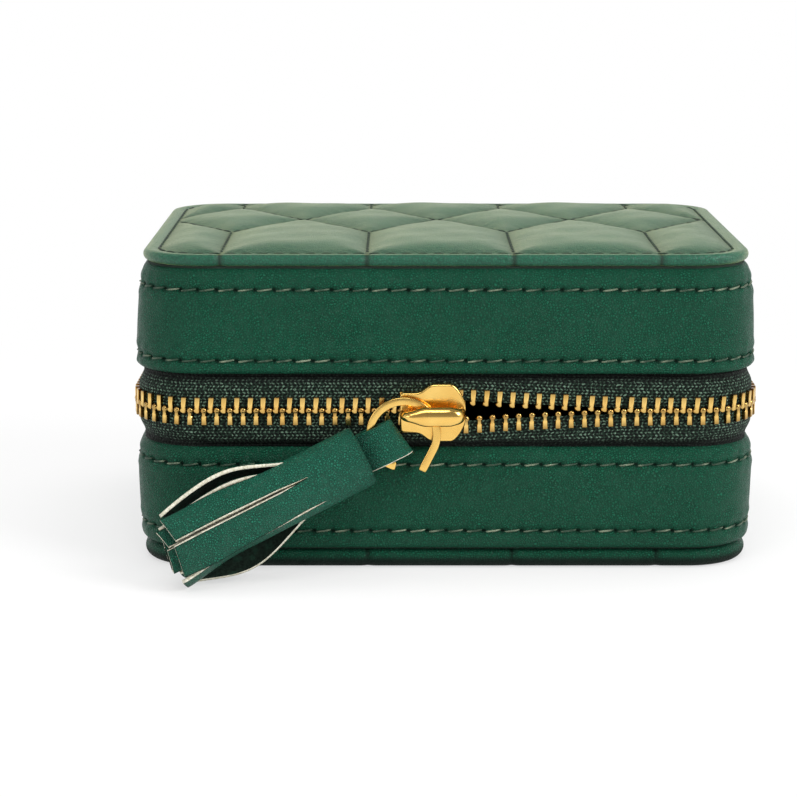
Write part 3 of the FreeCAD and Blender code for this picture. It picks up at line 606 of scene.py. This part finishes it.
def make_panel(name, node, body, inset, low_z, high_z, up, puff, seam_z, mat):
    """Padded panel: rolled edge, border seam and puffed cells; up is +1 for the lid."""
    half_x, half_y, radius = HALF_X - inset, HALF_Y - inset, CORNER - inset
    r = (high_z - low_z) / 2
    turn = np.radians(linspace(-90, 62, 15))
    roll = r * (1 - cos(turn))
    first = roll[-1]
    inner = concatenate([arange(first + 0.3, 12.0, 0.33), arange(12.0, half_y - 0.2, 0.45),
                         [half_y - 0.01]])
    depths = concatenate([[r + 6.0], roll, inner])
    edge = slice(1, len(roll) + 1)
    slope = slice(edge.stop, edge.stop + np.searchsorted(inner, BORDER))
    rows = [ring_points(half_x - d, half_y - d, min(max(radius - d, 0.15), (half_y - d) * 0.9), FINE)[:4]
            for d in depths]
    X, Y, out_x, out_y = np.array(rows).transpose(1, 0, 2)
    D = depths[:, None]
    near, close, along = seam_distance(X, Y)
    border, inside = np.abs(D - BORDER), D > BORDER
    near = where(inside, near, near + 4.0 * ease((np.abs(X) - half_x + 9.0) / 3.0))
    d = (close + maximum(border, 1e-3) ** -4.0) ** -0.25
    height = where(inside, puff * pillow(d, 10.0), 0.75 * pillow(d, 1.6))
    gather = 0.035 * exp(-near / 2.0) * sin(along * tau / QUILT_STITCH + 1.3 * sin(along * 0.9))
    gather += 0.03 * exp(-border / 1.6) * sin((X + Y) * tau / QUILT_STITCH + 0.8 * sin(X * 0.5))
    soft = 0.06 * (sin(X * 0.42 + Y * 0.3) + sin(Y * 0.55 - X * 0.2 + 1.0))
    Z = seam_z + up * (height + where(inside, gather + soft * pillow(d, 6.0), gather * 0.4))
    Z[0] = low_z if up > 0 else high_z
    Z[edge] = ((low_z + high_z) / 2 + up * r * sin(turn))[:, None]
    start = Z[len(roll)]
    t = (D[slope] - first) / (BORDER - first)
    Z[slope] = (start + (seam_z - start) * ease(t) + up * 0.15 * sin(pi * t)
                - up * 0.4 * bell(near[slope], 0.8) * (1 - t))
    pinch = 0.38 * bell(near[edge], 0.75)
    X[edge] -= out_x[edge] * pinch
    Y[edge] -= out_y[edge] * pinch
    # Painted shade: dark lines along the quilting seams and the border seam, soft shade into the cells near
    # the seams, and the tucked-under row
    painted_shade = maximum(0.8 * bell(near, where(Y > QUILT_FRONT + 0.5, 0.62, 0.45)),
                   where(D > 1.0, 0.4 * bell(border, 0.3), 0))
    painted_shade = maximum(painted_shade, where(inside, 0.42 * exp(-d / 2.2), 0))
    painted_shade[0] = 0.6
    # Painted shade on the foot's rolled underside, towards the floor
    if up < 0:
        painted_shade = maximum(painted_shade, 0.92 * ease((2.9 - Z) / 1.5))
    piece(name, vec(X, Y, Z), grid_faces(*X.shape, wrap_cols=True)[:, ::up], mat, body, node,
          painted_shade=painted_shade, fill=0.75)
    panel_thread(name, body, half_x, half_y, radius, seam_z, up)


make_panel("lid_panel_quilted", "lid_quilted_panel", "lid", LID_TAPER + SET_BACK, PANEL_LOW, PANEL_TOP - 1.0,
           up=1, puff=1.8, seam_z=PANEL_TOP - 1.4, mat=quilt_leather)
make_panel("base_panel_quilted", "base_foot_panel", "base", BASE_TAPER + SET_BACK, 0.05, FOOT,
           up=-1, puff=0.75, seam_z=0.8, mat=leather)


# Zip tapes and teeth

TAPE_END = 2 * FRONT_HALF + 2 * QUARTER + SIDE_RUN - HINGE_HALF - 0.1
TOOTH_FRONT = 1.08


def make_tape(name, node, body, up, mouth_z, taper):
    """Woven tape from the teeth, flat where the slider runs, then curving in behind the leather band."""
    s = arange(-TAPE_END, TAPE_END + 0.01, 0.6)[:, None]
    x, y, turn = chain_frame(s)
    shift = row_shift(s)
    reach = abs(mouth_z - CHAIN_Z)
    bead = HALF_CHAIN - 2.4 + shift
    flat = 2.5 * (1 - ease((np.abs(s) - 45.0) / 8.0))
    free = np.minimum(HALF_CHAIN + shift + 0.6 + flat, reach - 1.25)
    rise = bead + (reach + SEWN - bead) * linspace(0, 1, 26)
    depth = (CHAIN_INSET - POCKET) * ease((rise - free) / (reach - 0.8 - free))
    depth = depth - taper * clip(rise - reach, 0, None) / BAND
    depth = depth + 0.10 * sin(s * 0.31) * sin(pi * clip((rise - 3.5) / (reach - 4.3), 0, 1))
    thick = 0.25 + 0.2 * bell(rise - bead, 0.5)
    length = np.hstack([np.zeros_like(bead), np.cumsum(np.hypot(np.diff(rise), np.diff(depth)), axis=1)])
    # Painted shade where the tape runs in under the leather band's edge
    shade = 0.92 * ease((rise - reach + 2.3) / 1.7)
    off = looped(depth + thick, depth - thick)
    co = vec(x + sin(turn) * off, y - cos(turn) * off, CHAIN_Z + up * looped(rise, rise))
    piece(name, co, grid_faces(*off.shape, wrap_cols=True)[:, ::up], tape_cloth, body, node,
          slot="zip_tape", uv=vec(s, looped(length, length)), painted_shade=looped(shade, shade))


make_tape("upper_tape_woven", "upper_zip_tape", "lid", 1, LID_MOUTH, LID_TAPER)
make_tape("lower_tape_woven", "lower_zip_tape", "base", -1, BASE_MOUTH, BASE_TAPER)


def stamped(outline, centre, half, bevel):
    """Plate of the given (x, z) outline with bevelled rims, half its thickness to each side."""
    outline = np.asarray(outline)
    arm = outline - centre
    small = centre + arm * (1 - bevel / np.linalg.norm(arm, axis=1, keepdims=True))
    layers = ((small, -half), (outline, bevel - half), (outline, half - bevel), (small, half))
    return closed_tube([vec(points[:, 0], y, points[:, 1]) for points, y in layers])


def ball(radii, centre, rings=9, sides=12):
    la = linspace(-pi / 2, pi / 2, rings)[:, None]
    lo = arange(sides) / sides * tau
    points = vec(cos(la) * cos(lo), cos(la) * sin(lo), sin(la)).reshape(-1, 3)
    return points * radii + centre, grid_faces(rings, sides, wrap_cols=True)


def make_teeth(name, node, body, up, phase, *parts):
    """Row of teeth, each a flat leg and perhaps a round head."""
    count = int((FRONT_HALF + QUARTER + SIDE_RUN + CHAIN_RADIUS * radians(55)) // PITCH)
    s = (arange(-count, count) + phase) * PITCH
    x, y, turn = (part[:, None] for part in chain_frame(s))
    co, faces = joined(parts)
    lx, ly, lz = co.T
    round_faces = arange(len(faces)) >= len(parts[0][1])
    reach = up * lz
    # Painted shade and painted dark reflection: the hooked feet, the heads and waists, the sides behind the
    # front face, and the tips
    dark = 0.3 * ease((0.9 - reach) / 0.8) if up > 0 else 0.55 * ease((1.1 - reach) / 0.5)
    dark = maximum(dark, 0.8 * ease((ly + TOOTH_FRONT) / 0.22))
    dark = maximum(dark, 0.9 * ease((reach - 2.55) / 0.12))
    lx = lx + 0.02 * sin(arange(len(s)) * 2.4)[:, None] * lz
    co = vec(x + cos(turn) * lx - sin(turn) * ly, y + sin(turn) * lx + cos(turn) * ly,
             CHAIN_Z + lz + up * row_shift(s)[:, None])
    piece(name, co, repeated(faces, len(s), len(ly)), tooth_gold, body, node, slot="gold_metal",
          smooth=np.tile(round_faces, len(s)), painted_shade=np.tile(dark, len(s)))


# The upper leg leans and hooks to the left under a lower head; the lower leg has a waist and a round head
UPPER_LEG = ((-0.3, 2.75), (0.68, 2.75), (0.64, 2.2), (0.58, 1.4), (0.52, 0.5), (0.49, -0.28), (0.3, -0.44),
             (-0.1, -0.46), (-0.5, -0.22), (-0.68, 0.06), (-0.62, 0.34), (-0.42, 0.44), (-0.4, 1.4),
             (-0.34, 2.2))
LOWER_LEG = ((0.49, -2.75), (0.49, -1.1), (0.36, -0.9), (0.34, -0.2), (-0.34, -0.2), (-0.36, -0.9),
             (-0.49, -1.1), (-0.49, -2.75))
make_teeth("upper_teeth_gold", "upper_zip_teeth", "lid", 1, 0.0, stamped(UPPER_LEG, (0.05, 0.35), 1.1, 0.15))
make_teeth("lower_teeth_gold", "lower_zip_teeth", "base", -1, 0.5,
           stamped(LOWER_LEG, (0.0, -1.3), TOOTH_FRONT, 0.13), ball((0.68, 0.55, 0.66), (0, -0.72, 0.12)))


# Pull ring and bridge

RING_RADIUS = 6.4
RING_AXIS = unit((-0.03, -0.99, 0.06))
RING_SEAT, RING_LEAN = np.array([-3.2, -46.75, 31.7]), (0.80, 0, 0.60)
RING_START, RING_TURN, RING_STUB = -27, 283, 4.7
WIRE_ACROSS, WIRE_DEEP, WIRE_ROUND = 0.78, 0.5, 0.2
PLATE_OUT, BRIDGE_ROOM, BRIDGE_THICK, BRIDGE_DOME = 2.4, 2.8, 0.85, 1.35


def in_ring(direction):
    """The direction turned into the ring's plane."""
    return unit(direction - RING_AXIS * RING_AXIS.dot(direction))


RING_CENTRE = RING_SEAT - in_ring(RING_LEAN) * RING_RADIUS


def make_ring():
    """Open ring of flat wire with eased rims and one straight end."""
    level = in_ring((1.0, 0, 0))
    turn = np.radians(RING_START + linspace(0, RING_TURN, 84))[:, None]
    radial = level * cos(turn) + np.cross(RING_AXIS, level) * sin(turn)
    path = RING_CENTRE + radial * RING_RADIUS
    stub = linspace(RING_STUB, 0, 8)[:-1, None]
    path = concatenate([path[0] + np.cross(radial[0], RING_AXIS) * stub, path])
    radial = concatenate([np.repeat(radial[:1], len(stub), axis=0), radial])
    size = np.ones((len(path), 1))
    size[[0, -1]] = 0.9
    a = np.radians(linspace(0, 90, 5) + arange(0, 360, 90)[:, None])
    corner = np.array([(1, 1), (-1, 1), (-1, -1), (1, -1)])[:, None]
    section = corner * (WIRE_ACROSS - WIRE_ROUND, WIRE_DEEP - WIRE_ROUND) + WIRE_ROUND * vec(cos(a), sin(a))
    across, deep = section.reshape(-1, 2).T
    co, faces = closed_tube(path[:, None] + radial[:, None] * (across * size)[..., None]
                            + RING_AXIS * (deep * size)[..., None])
    piece("pull_ring_wire", co, faces, gold, "ring", "pull_ring", slot="gold_metal")


def make_bridge():
    """Domed bar over the slider plate, its two ends bent down to the plate."""
    top, foot = PLATE_OUT + BRIDGE_ROOM + BRIDGE_THICK, PLATE_OUT
    rising = [(-4.95, foot - 0.1), (-5.05, foot + 1.4), (-4.7, top - 0.5), (-3.3, top - 0.05)]
    line = smooth_path(rising + [(0.0, top + 0.1)] + [(-x, out) for x, out in rising[::-1]], 8)
    a = linspace(0, tau, 40, endpoint=False)
    half = 1.9 - 0.35 * ease((line[:, :1] - 3.2) / 1.8) - 0.85 * ease((-line[:, :1] - 1.2) / 3.8)
    along, out = offset_line(line, where(sin(a) > 0, BRIDGE_DOME, BRIDGE_THICK) * sin(a))
    co, faces = closed_tube(vec(SLIDER_X + along, CHAIN_INSET - HALF_Y - out, CHAIN_Z + half * cos(a)))
    piece("slider_bridge_bar", co, faces, gold, "slider", "slider_bridge", slot="gold_metal")


make_ring()
make_bridge()


# Tassel

STRAP_ALONG = unit((-0.885, -0.20, -0.42))
STRAP_ACROSS = unit(np.cross(RING_AXIS, STRAP_ALONG))
STRAP_OUT = unit(np.cross(STRAP_ALONG, STRAP_ACROSS))
RING_HOLD = RING_CENTRE + in_ring(STRAP_ALONG) * RING_RADIUS
STRAP_REACH, HEAD_OUT = 2.6, 1.6
HEAD_LENGTH, FRINGE_LENGTH = 14.0, 27.0
ROOT, TIP = (6.0, 4.2), (7.2, 4.8)
INNER_ROOT, INNER_TIP = (4.1, 2.3), (5.3, 2.9)
CORE_ROOT, CORE_TIP = (2.9, 1.1), (4.0, 1.6)
STRIP_THICK, STRIP_COLUMNS, STRIP_ROWS, WELD = 1.1, 17, 64, 0.001


def tassel_point(along, across, out):
    """Points of the tassel from the ring's wire, along the strap, across it and out from the case."""
    along, across, out = (part[..., None] for part in np.broadcast_arrays(along, across, out))
    return RING_HOLD + along * STRAP_ALONG + across * STRAP_ACROSS + out * STRAP_OUT


def head_point(along, across, out):
    return tassel_point(np.asarray(along) + STRAP_REACH, across, np.asarray(out) + HEAD_OUT)


def strip(middle, half_turn, root, tip, bow, start, slits, tip_cut, gap=0.075, curl=0.3):
    """One strip: its skin, its back and its cut edges as (points, quads, face materials, marks of painted
    shade).
    slits are the distances at which its two sides part from their neighbours."""
    cols = STRIP_COLUMNS
    from_head = start == 0
    u = sin(linspace(-pi / 2, pi / 2, cols))
    base = linspace(0, 1, STRIP_ROWS)
    if from_head:
        base = concatenate([[0, 0.004, 0.012], base[2:]])
    base = base[:, None]
    along = start + (HEAD_LENGTH + FRINGE_LENGTH - tip_cut - start) * base
    along = along + base ** 6 * u * 0.6 * sin(middle * 3)
    past = where(u < 0, along - slits[0], along - slits[1])
    parted = past > 0
    angle = middle + u * half_turn - u * gap * (0.8 * ease(past / 7) + 0.2 * parted)
    share = clip((along - HEAD_LENGTH) / FRINGE_LENGTH, 0, 1)
    wide, tall = (a + (b - a) * sin(share * pi / 2) + bow * sin(share * pi) ** 1.15
                  for a, b in zip(root, tip))
    free = ease((along - min(slits)) / 16)
    lift = curl * free * (np.abs(u) ** 3 - 0.3) + 0.18 * free * sin(along * 0.33 + middle * 2)
    # Painted shade: dark lines along the slit edges, and where the sheet leaves the head's top end
    painted_shade = 0.8 * parted * bell(1 - np.abs(u), 0.05)
    if from_head:
        lift = lift - 0.35 * bell(along, 0.35)
        painted_shade = maximum(painted_shade, 0.35 * exp(-clip(along, 0, None) / 0.7))
    skin = head_point(along, (wide + lift) * cos(angle), (tall + lift) * sin(angle))
    inner = lift - STRIP_THICK + 0.5 * ease((along - HEAD_LENGTH) / 3)
    angle = angle + u * 0.05 * ease(past / 5)
    back = head_point(along, (wide + inner) * cos(angle), (tall + inner) * sin(angle))
    rows, count = len(base), len(base) * cols
    grid = grid_faces(rows, cols)
    parts, which = [grid, grid[:, ::-1] + count], [np.full(len(grid), 0), np.full(len(grid), 2)]
    for column, slit, way in ((0, slits[0], 1), (cols - 1, slits[1], -1)):
        a = np.flatnonzero(along[1:, column] > slit) * cols + column
        parts.append(np.stack([a, a + cols, a + cols + count, a + count], axis=-1)[:, ::way])
        which.append(np.full(len(a), 1))
    for row, way in ((0, -1), (rows - 1, 1)):
        a = row * cols + arange(cols - 1)
        parts.append(np.stack([a, a + 1, a + 1 + count, a + count], axis=-1)[:, ::way])
        which.append(np.full(len(a), 0 if row == 0 and from_head else 1))
    co = concatenate([skin.reshape(-1, 3), back.reshape(-1, 3)])
    return co, concatenate(parts), concatenate(which), np.tile(painted_shade.ravel(), 2)


def add_strips(name, strips, shade, *replaced):
    """Strips as one piece, sewn together where their points meet."""
    co, faces = joined([one[:2] for one in strips])
    which, painted_shade = (concatenate([one[k] for one in strips]) for k in (2, 3))
    cells = np.round(co / WELD).astype(np.int64)
    _, first, back = np.unique(cells, axis=0, return_index=True, return_inverse=True)
    # The back faces take the dark back of the leather, which is painted shade
    piece(name, co[first], back.ravel()[faces], [tassel_leather, cut_edge, leather_back_painted_shade], "tassel",
          *replaced, which=which, painted_shade=painted_shade[first] + shade)


def make_tassel():
    """Outer strips that run on from the sleeve, six strips inside them and four in the core."""
    slits = (10.7, 11.6, 14.5, 12.0, 12.6, 11.8)
    bows, cuts = (0.3, 0.0, 3.0, 0.0, 3.6, -0.9), (0.6, 1.3, 1.6, 0.3, 1.2, -0.2)
    inner_bows, inner_cuts = (0.0, 0.0, 2.5, 0.0, 0.0, 0.0), (-0.9, -0.4, 0.3, -0.7, -0.2, 0.2)
    outer, inner = [], []
    for k in range(6):
        middle = radians(75 + 60 * k)
        outer.append(strip(middle, pi / 6, ROOT, TIP, bows[k], 0.0, (slits[k], slits[(k + 1) % 6]), cuts[k]))
        inner.append(strip(middle, pi / 6, INNER_ROOT, INNER_TIP, inner_bows[k], HEAD_LENGTH, (0, 0),
                           inner_cuts[k], 0.06, 0.12))
    for k, cut in enumerate((0.5, -0.6, 0.0, -1.1)):
        inner.append(strip(radians(20 + 90 * k), pi / 4, CORE_ROOT, CORE_TIP, 0.0, HEAD_LENGTH, (0, 0), cut,
                           0.06, 0.12))
    add_strips("tassel_sheet", outer, 0.0, "tassel_head", *[f"tassel_strip_{k}" for k in range(1, 7)])
    # The inner strips get painted shade all over
    add_strips("tassel_inner_strips", inner, 0.15, *[f"tassel_strip_{k}" for k in range(7, 10)])


def make_core():
    """Rolled layers in the head, seen at its two ends, in front of the strap's ends."""
    a = linspace(0, tau, 72, endpoint=False)
    across, middle = 4.3 * cos(a), 1.2
    out = maximum(2.8 * sin(a), -0.2) - middle
    share = linspace(0.03, 1, 22)[:, None]
    groove = 0.28 * cos(share * 3.5 * tau)
    top = head_point(0.55 + groove * 0.8, across * share, middle + out * share)
    low = head_point(HEAD_LENGTH - 0.4 - groove * 0.5, across * share, middle + out * share)
    co, faces = closed_tube(concatenate([top, low[::-1]]))
    # The core roll inside the head is given the dark back, which is painted shade
    piece("tassel_core_roll", co, faces, leather_back_painted_shade, "tassel", "tassel_core")


def make_strap():
    """Leather strip folded in a slack loop round the ring's wire, its end cut at a slant."""
    line = smooth_path([(7.2, -0.62), (4.6, -0.62), (2.5, -0.66), (0.9, -1.5), (-0.6, -1.85), (-2.6, -0.9),
                        (-4.3, 0.2), (-5.35, 1.25), (-4.4, 2.38), (-2.4, 2.35), (-0.4, 1.95), (1.0, 1.4),
                        (2.5, 0.66), (4.6, 0.62), (7.2, 0.62)], 7)
    flat = linspace(3.62, -3.62, 13)
    section = concatenate([vec(flat, 0.54), [(-3.78, 0.4), (-3.8, 0.0), (-3.78, -0.4)],
                           vec(-flat, -0.54), [(3.78, -0.4), (3.8, 0.0), (3.78, 0.4)]])
    across, thick = section.T
    along, out = offset_line(line, thick)
    co, faces = closed_tube(tassel_point(along - 0.16 * ease(-line[:, :1] / 4.0) * across, across, out))
    pale = np.tile(arange(len(section)) >= len(section) - 4, len(line) + 1)
    piece("tassel_strap_loop", co, faces, [tassel_leather, cut_edge], "tassel", "tassel_strap", which=pale)


make_tassel()
make_core()
make_strap()


# Hinge at the back

def make_hinge(name, node, inset, bulge, base_lean, lid_lean, mat, slot, half):
    """Strip that joins the halves, bowed between the bands."""
    back, hold = HALF_Y - inset, SEWN / BAND
    line = smooth_path([(back - base_lean * hold, BASE_MOUTH - SEWN), (back, BASE_MOUTH - 0.5),
                        (back + bulge * 0.55, CHAIN_Z - 3.6), (back + bulge, CHAIN_Z),
                        (back + bulge * 0.55, CHAIN_Z + 3.6),
                        (back, LID_MOUTH + 0.5), (back - lid_lean * hold, LID_MOUTH + SEWN)], 8)
    y, z = line[:, :1], line[:, 1:]
    x = linspace(-half, half, 120)
    rim = 0.25 * np.sqrt(clip(1 - (clip(np.abs(x) - half + 0.3, 0, None) / 0.32) ** 2, 0.05, 1))
    mid = sin(pi * clip((z - BASE_MOUTH) / GAP, 0, 1))
    y = y + 0.05 * mid * sin(x * 0.9 + 2 * sin(x * 0.13))
    y = y + 0.06 * mid * sin((z - BASE_MOUTH) * 2.2 + sin(x * 0.21))
    co, faces = closed_tube(vec(looped(x, x), looped(y + rim, y - rim), z))
    sheet = piece(name, co, faces, mat, None, node, slot=slot)
    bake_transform(sheet)


make_hinge("hinge_leather_strip", "hinge_leather", POCKET, 0.9, BASE_TAPER, LID_TAPER, leather,
           "emerald_leather", HINGE_HALF)
make_hinge("hinge_lining_strip", "hinge_lining", CAVITY + 0.5, 0.4, 0, 0, velvet, "velvet", HINGE_HALF + 2.6)


# Linings and fittings

CAVITY_X, CAVITY_Y = HALF_X - CAVITY, HALF_Y - CAVITY
ROLL_COUNT, ROLL_FIT, ROLL_HEIGHT, ROLL_LENGTH, ROLL_SLOPE = 6, 0.3, 13.0, 57.0, 2.4
ROLL_LEFT = -CAVITY_X + CORNER - CAVITY - ROLL_SLOPE
ROLL_PITCH = 2 * CAVITY_Y / ROLL_COUNT
WALL_X = ROLL_LEFT + ROLL_LENGTH + ROLL_FIT
WALL_THICK, WALL_HEIGHT, WALL_FIT = 2.6, 12.3, 0.2
MIRROR_X, MIRROR_Y, MIRROR_CORNER = 44.1, 27.1, 6.1


def make_tray(name, node, body, rim_z, floor_z):
    """Velvet lining of one half: rolled over the wall's edge, down to a floor with a soft corner."""
    up = 1 if rim_z > floor_z else -1
    rim = ((2.12, -0.3), (2.15, 0.06), (2.35, 0.3), (2.9, 0.42), (3.6, 0.36), (4.2, 0), (4.5, -0.7),
           (4.58, -1.6))
    profile = [(inset, rim_z + up * rise) for inset, rise in rim]
    profile += [(CAVITY, z) for z in linspace(rim_z - up * 2.4, floor_z + up * 1.6, 14)]
    profile += [(4.7, floor_z + up * 0.8), (5.0, floor_z + up * 0.3), (5.6, floor_z + up * 0.05)]
    profile += [(inset, floor_z) for inset in [*arange(6.6, HALF_Y - 0.5, 2.0), HALF_Y - 0.01]]
    rows = []
    for inset, z in profile:
        corner = min(max(CORNER - inset, 0.3), (HALF_Y - inset) * 0.9)
        x, y, nx, ny, s = ring_points(HALF_X - inset, HALF_Y - inset, corner, 0.9)[:5]
        soft = 0.05 * sin(s * 0.35 + z) * (abs(inset - CAVITY) < 0.05)
        rows.append(vec(x + nx * soft, y + ny * soft, z))
    depth = np.array(profile)[:, 0]
    # Painted shade in the soft corner between wall and floor
    painted_shade = where((depth > 4.65) & (depth < 5.7), 0.45, 0.0)
    piece(name, rows, grid_faces(len(rows), len(s), wrap_cols=True)[:, ::up], velvet, body, node,
          slot="velvet", painted_shade=np.repeat(painted_shade, len(s)))


def make_roll(number):
    """Stuffed ring roll: flat below, domed above, drawn in at its tucked ends."""
    middle = -CAVITY_Y + (number - 0.5) * ROLL_PITCH
    half = (ROLL_PITCH - ROLL_FIT) / 2
    phase = number - 1
    t = linspace(-1, 1, 74)[:, None]
    t = np.sign(t) * (1 - (1 - np.abs(t)) ** 1.5)
    end = clip((np.abs(t) * ROLL_LENGTH / 2 - ROLL_LENGTH / 2 + 4.2) / 4.2, 0, 1)
    size = np.sqrt(clip(1 - end ** 2.4, 0, 1)) * 0.97 + 0.03
    a = linspace(0, tau, 44, endpoint=False)
    above, rise = sin(a) > 0, np.abs(sin(a))
    across = np.sign(cos(a)) * np.abs(cos(a)) ** 0.72
    height = where(above, rise ** 0.85 * (ROLL_HEIGHT - half * 0.9), -rise ** 0.55 * half * 0.9)
    crease = 0.10 * sin(t * 19 + phase * 1.7) * sin(a * 2 + phase)
    pleat = 0.22 * end ** 2 * sin(a * 9 + phase)
    scale = size * (1 + (crease + pleat - 0.22) / half)
    Z = FLOOR_Z + half * 0.9 + height * where(above, scale, maximum(scale, 0.96 * size))
    X = ROLL_LEFT + ROLL_LENGTH / 2 + t * (ROLL_LENGTH / 2 - 0.15)
    co, faces = closed_tube(vec(X, middle + half * across * scale, maximum(Z, FLOOR_Z + 0.06)))
    # Painted shade at the tucked ends
    painted_shade = 0.4 * concatenate([[1.0], end.ravel() ** 6, [1.0]])
    piece(f"ring_roll_velvet_{number}", co, faces, velvet, "base", f"ring_roll_{number}", slot="velvet",
          painted_shade=np.repeat(painted_shade, len(a)), fill=0.85)


def make_divider(name, node, low, high, along):
    """Padded divider: a board wrapped in velvet, rounded along its top and ends."""
    other = 1 - along
    half, middle = (high[other] - low[other]) / 2, (low[other] + high[other]) / 2
    steps = linspace(low[along] + 0.05, high[along] - 0.05, 50)[:, None]
    a = linspace(0, pi, 15)
    wall = linspace(low[2] + 0.05, high[2] - half, 8)
    side = concatenate([np.full(8, 1.0), cos(a), np.full(8, -1.0)]) * (half - 0.06)
    rise = concatenate([wall, high[2] - half + half * clip(sin(a), 0, 1) ** 0.8, wall[::-1]])
    end = clip(1 - np.minimum(steps - low[along], high[along] - steps) / 0.9, 0, 1)
    wave = 0.04 * sin(steps * 0.6) * sin(pi * (rise - low[2]) / (high[2] - low[2]))
    P = middle + side * np.sqrt(1 - end ** 2 * 0.8) + wave
    Z = rise - end * 0.5 * (rise > high[2] - 2)
    co, faces = closed_tube(vec(steps, P, Z) if along == 0 else vec(P, steps, Z))
    piece(name, co, faces, velvet, "base", node, slot="velvet", fill=0.9)


def make_bezel():
    """Padded velvet frame round the mirror."""
    profile = [(0.0, 0.0), (0.0, -1.6), (0.12, -2.3), (0.5, -2.75), (1.2, -2.95), (2.0, -3.0), (2.7, -2.9),
               (3.3, -2.5), (3.75, -1.8), (3.95, -1.0), (3.98, 0.0)]
    rows = []
    for d, z in smooth_path(profile, 4):
        x, y, _, _, s, _ = ring_points(MIRROR_X + d, MIRROR_Y + d, MIRROR_CORNER + d, 0.8)
        rows.append(vec(x, y, CEILING_Z + z * (1 + 0.03 * sin(s * 0.5))))
    faces = grid_faces(len(rows), len(s), wrap_rows=True, wrap_cols=True)
    co, faces = facing_out(concatenate(rows), faces)
    piece("mirror_bezel_velvet", co, faces, velvet, "lid", "mirror_bezel", slot="velvet", fill=0.8)


make_tray("base_lining_velvet", "base_lining", "base", BASE_MOUTH - RIM_DROP, FLOOR_Z)
make_tray("lid_lining_velvet", "lid_lining", "lid", LID_MOUTH + RIM_DROP, CEILING_Z)
for roll_number in range(1, ROLL_COUNT + 1):
    make_roll(roll_number)
make_divider("bay_divider_velvet", "bay_divider", (WALL_X, -CAVITY_Y + WALL_FIT, FLOOR_Z),
             (WALL_X + WALL_THICK, CAVITY_Y - WALL_FIT, FLOOR_Z + WALL_HEIGHT), 1)
make_divider("cross_divider_velvet", "cross_divider", (WALL_X + WALL_THICK, -WALL_THICK / 2, FLOOR_Z),
             (CAVITY_X - WALL_FIT, WALL_THICK / 2, FLOOR_Z + WALL_HEIGHT), 0)
make_bezel()

# Materials of the pieces that keep their CAD shape
slots = {part["node"]: part["material_slot"] for part in frame["record"]["subparts"]}
for key, obj in frame["nodes"].items():
    obj.data.materials.clear()
    obj.data.materials.append(CARRIED[slots[key]])


# Floor, light and camera

WHITE, AIM = (1, 1, 1, 1), (0, 0, 0.03)


def make_floor():
    """Pale floor that runs into the white background away from the case and keeps its shadow."""
    mesh = bpy.data.meshes.new("floor")
    mesh.from_pydata([(-3, -3, 0), (3, -3, 0), (3, 3, 0), (-3, 3, 0)], [], [(0, 1, 2, 3)])
    n = material("floor_paper")
    at = n.coords()
    tone = n.mix(n.noise(at, 900.0), (0.92, 0.92, 0.92, 1), (0.94, 0.94, 0.94, 1))
    mesh.materials.append(n.finish(Base_Color=tone, Roughness=0.9, Specular_IOR_Level=0.1))
    far = n.add("VectorMath", {0: at}, operation="LENGTH")["Value"]
    share = n.mul(n.seen()[0], n.ramp(far, 0.08, 0.24, 0.6, 1.0))
    white = n.add("Emission", {"Color": WHITE, "Strength": 1.0})[0]
    both = n.add("MixShader", {0: share, 1: n.shader.outputs[0], 2: white})[0]
    n.feed(n.tree.nodes["Material Output"].inputs["Surface"], both)
    linked("floor", mesh)


def make_world():
    """White for the camera; reflections see white behind the case, and grey in front of it and overhead."""
    world = bpy.data.worlds.new("studio")
    bpy.context.scene.world = world
    n = Nodes(world)
    n.tree.nodes.clear()
    seen, camera_ray = n.seen()
    towards = n.add("SeparateXYZ", {0: n.add("TexCoord")["Generated"]})
    room = n.mul(n.ramp(towards["Y"], -0.75, 0.1, 0.3, 1.0), n.ramp(towards["Z"], 0.28, 0.8, 1.0, 0.35))
    level = n.math("MAXIMUM", room, camera_ray)
    glow, backdrop = (n.add("Background", {"Color": WHITE, "Strength": strength})[0]
                      for strength in (0.38, level))
    both = n.add("MixShader", {0: seen, 1: glow, 2: backdrop})[0]
    n.add("OutputWorld", {"Surface": both})


def area_light(name, place_at, size, power, mirrored=True):
    data = bpy.data.lights.new(name, "AREA")
    data.shape = "RECTANGLE"
    data.size, data.size_y = size
    data.energy = power
    lamp = linked(name, data)
    lamp.location = place_at
    lamp.visible_glossy = mirrored
    x, y, z = np.subtract(AIM, place_at)
    lamp.rotation_euler = (atan2(hypot(x, y), -z), 0, atan2(-x, y))


make_floor()
make_world()
area_light("top_softbox", (0.05, 0.16, 0.80), (0.8, 0.5), 3.4, mirrored=False)
area_light("key_right", (0.62, -0.42, 0.50), (0.40, 0.40), 4.2)
area_light("left_fill", (-0.60, -0.60, 0.35), (0.4, 0.4), 1.0)
area_light("front_high", (-0.10, -0.50, 0.78), (0.5, 0.3), 2.0)

camera_data = bpy.data.cameras.new("camera")
camera_data.sensor_width = 36
camera_data.lens = 108.4
camera = linked("camera", camera_data)
camera.location = (-0.0093, -0.498, 0.1265)
camera.rotation_euler = (radians(90 - 11.48), 0, 0)
bpy.context.scene.camera = camera
bpy.context.scene.view_settings.view_transform = "Standard"
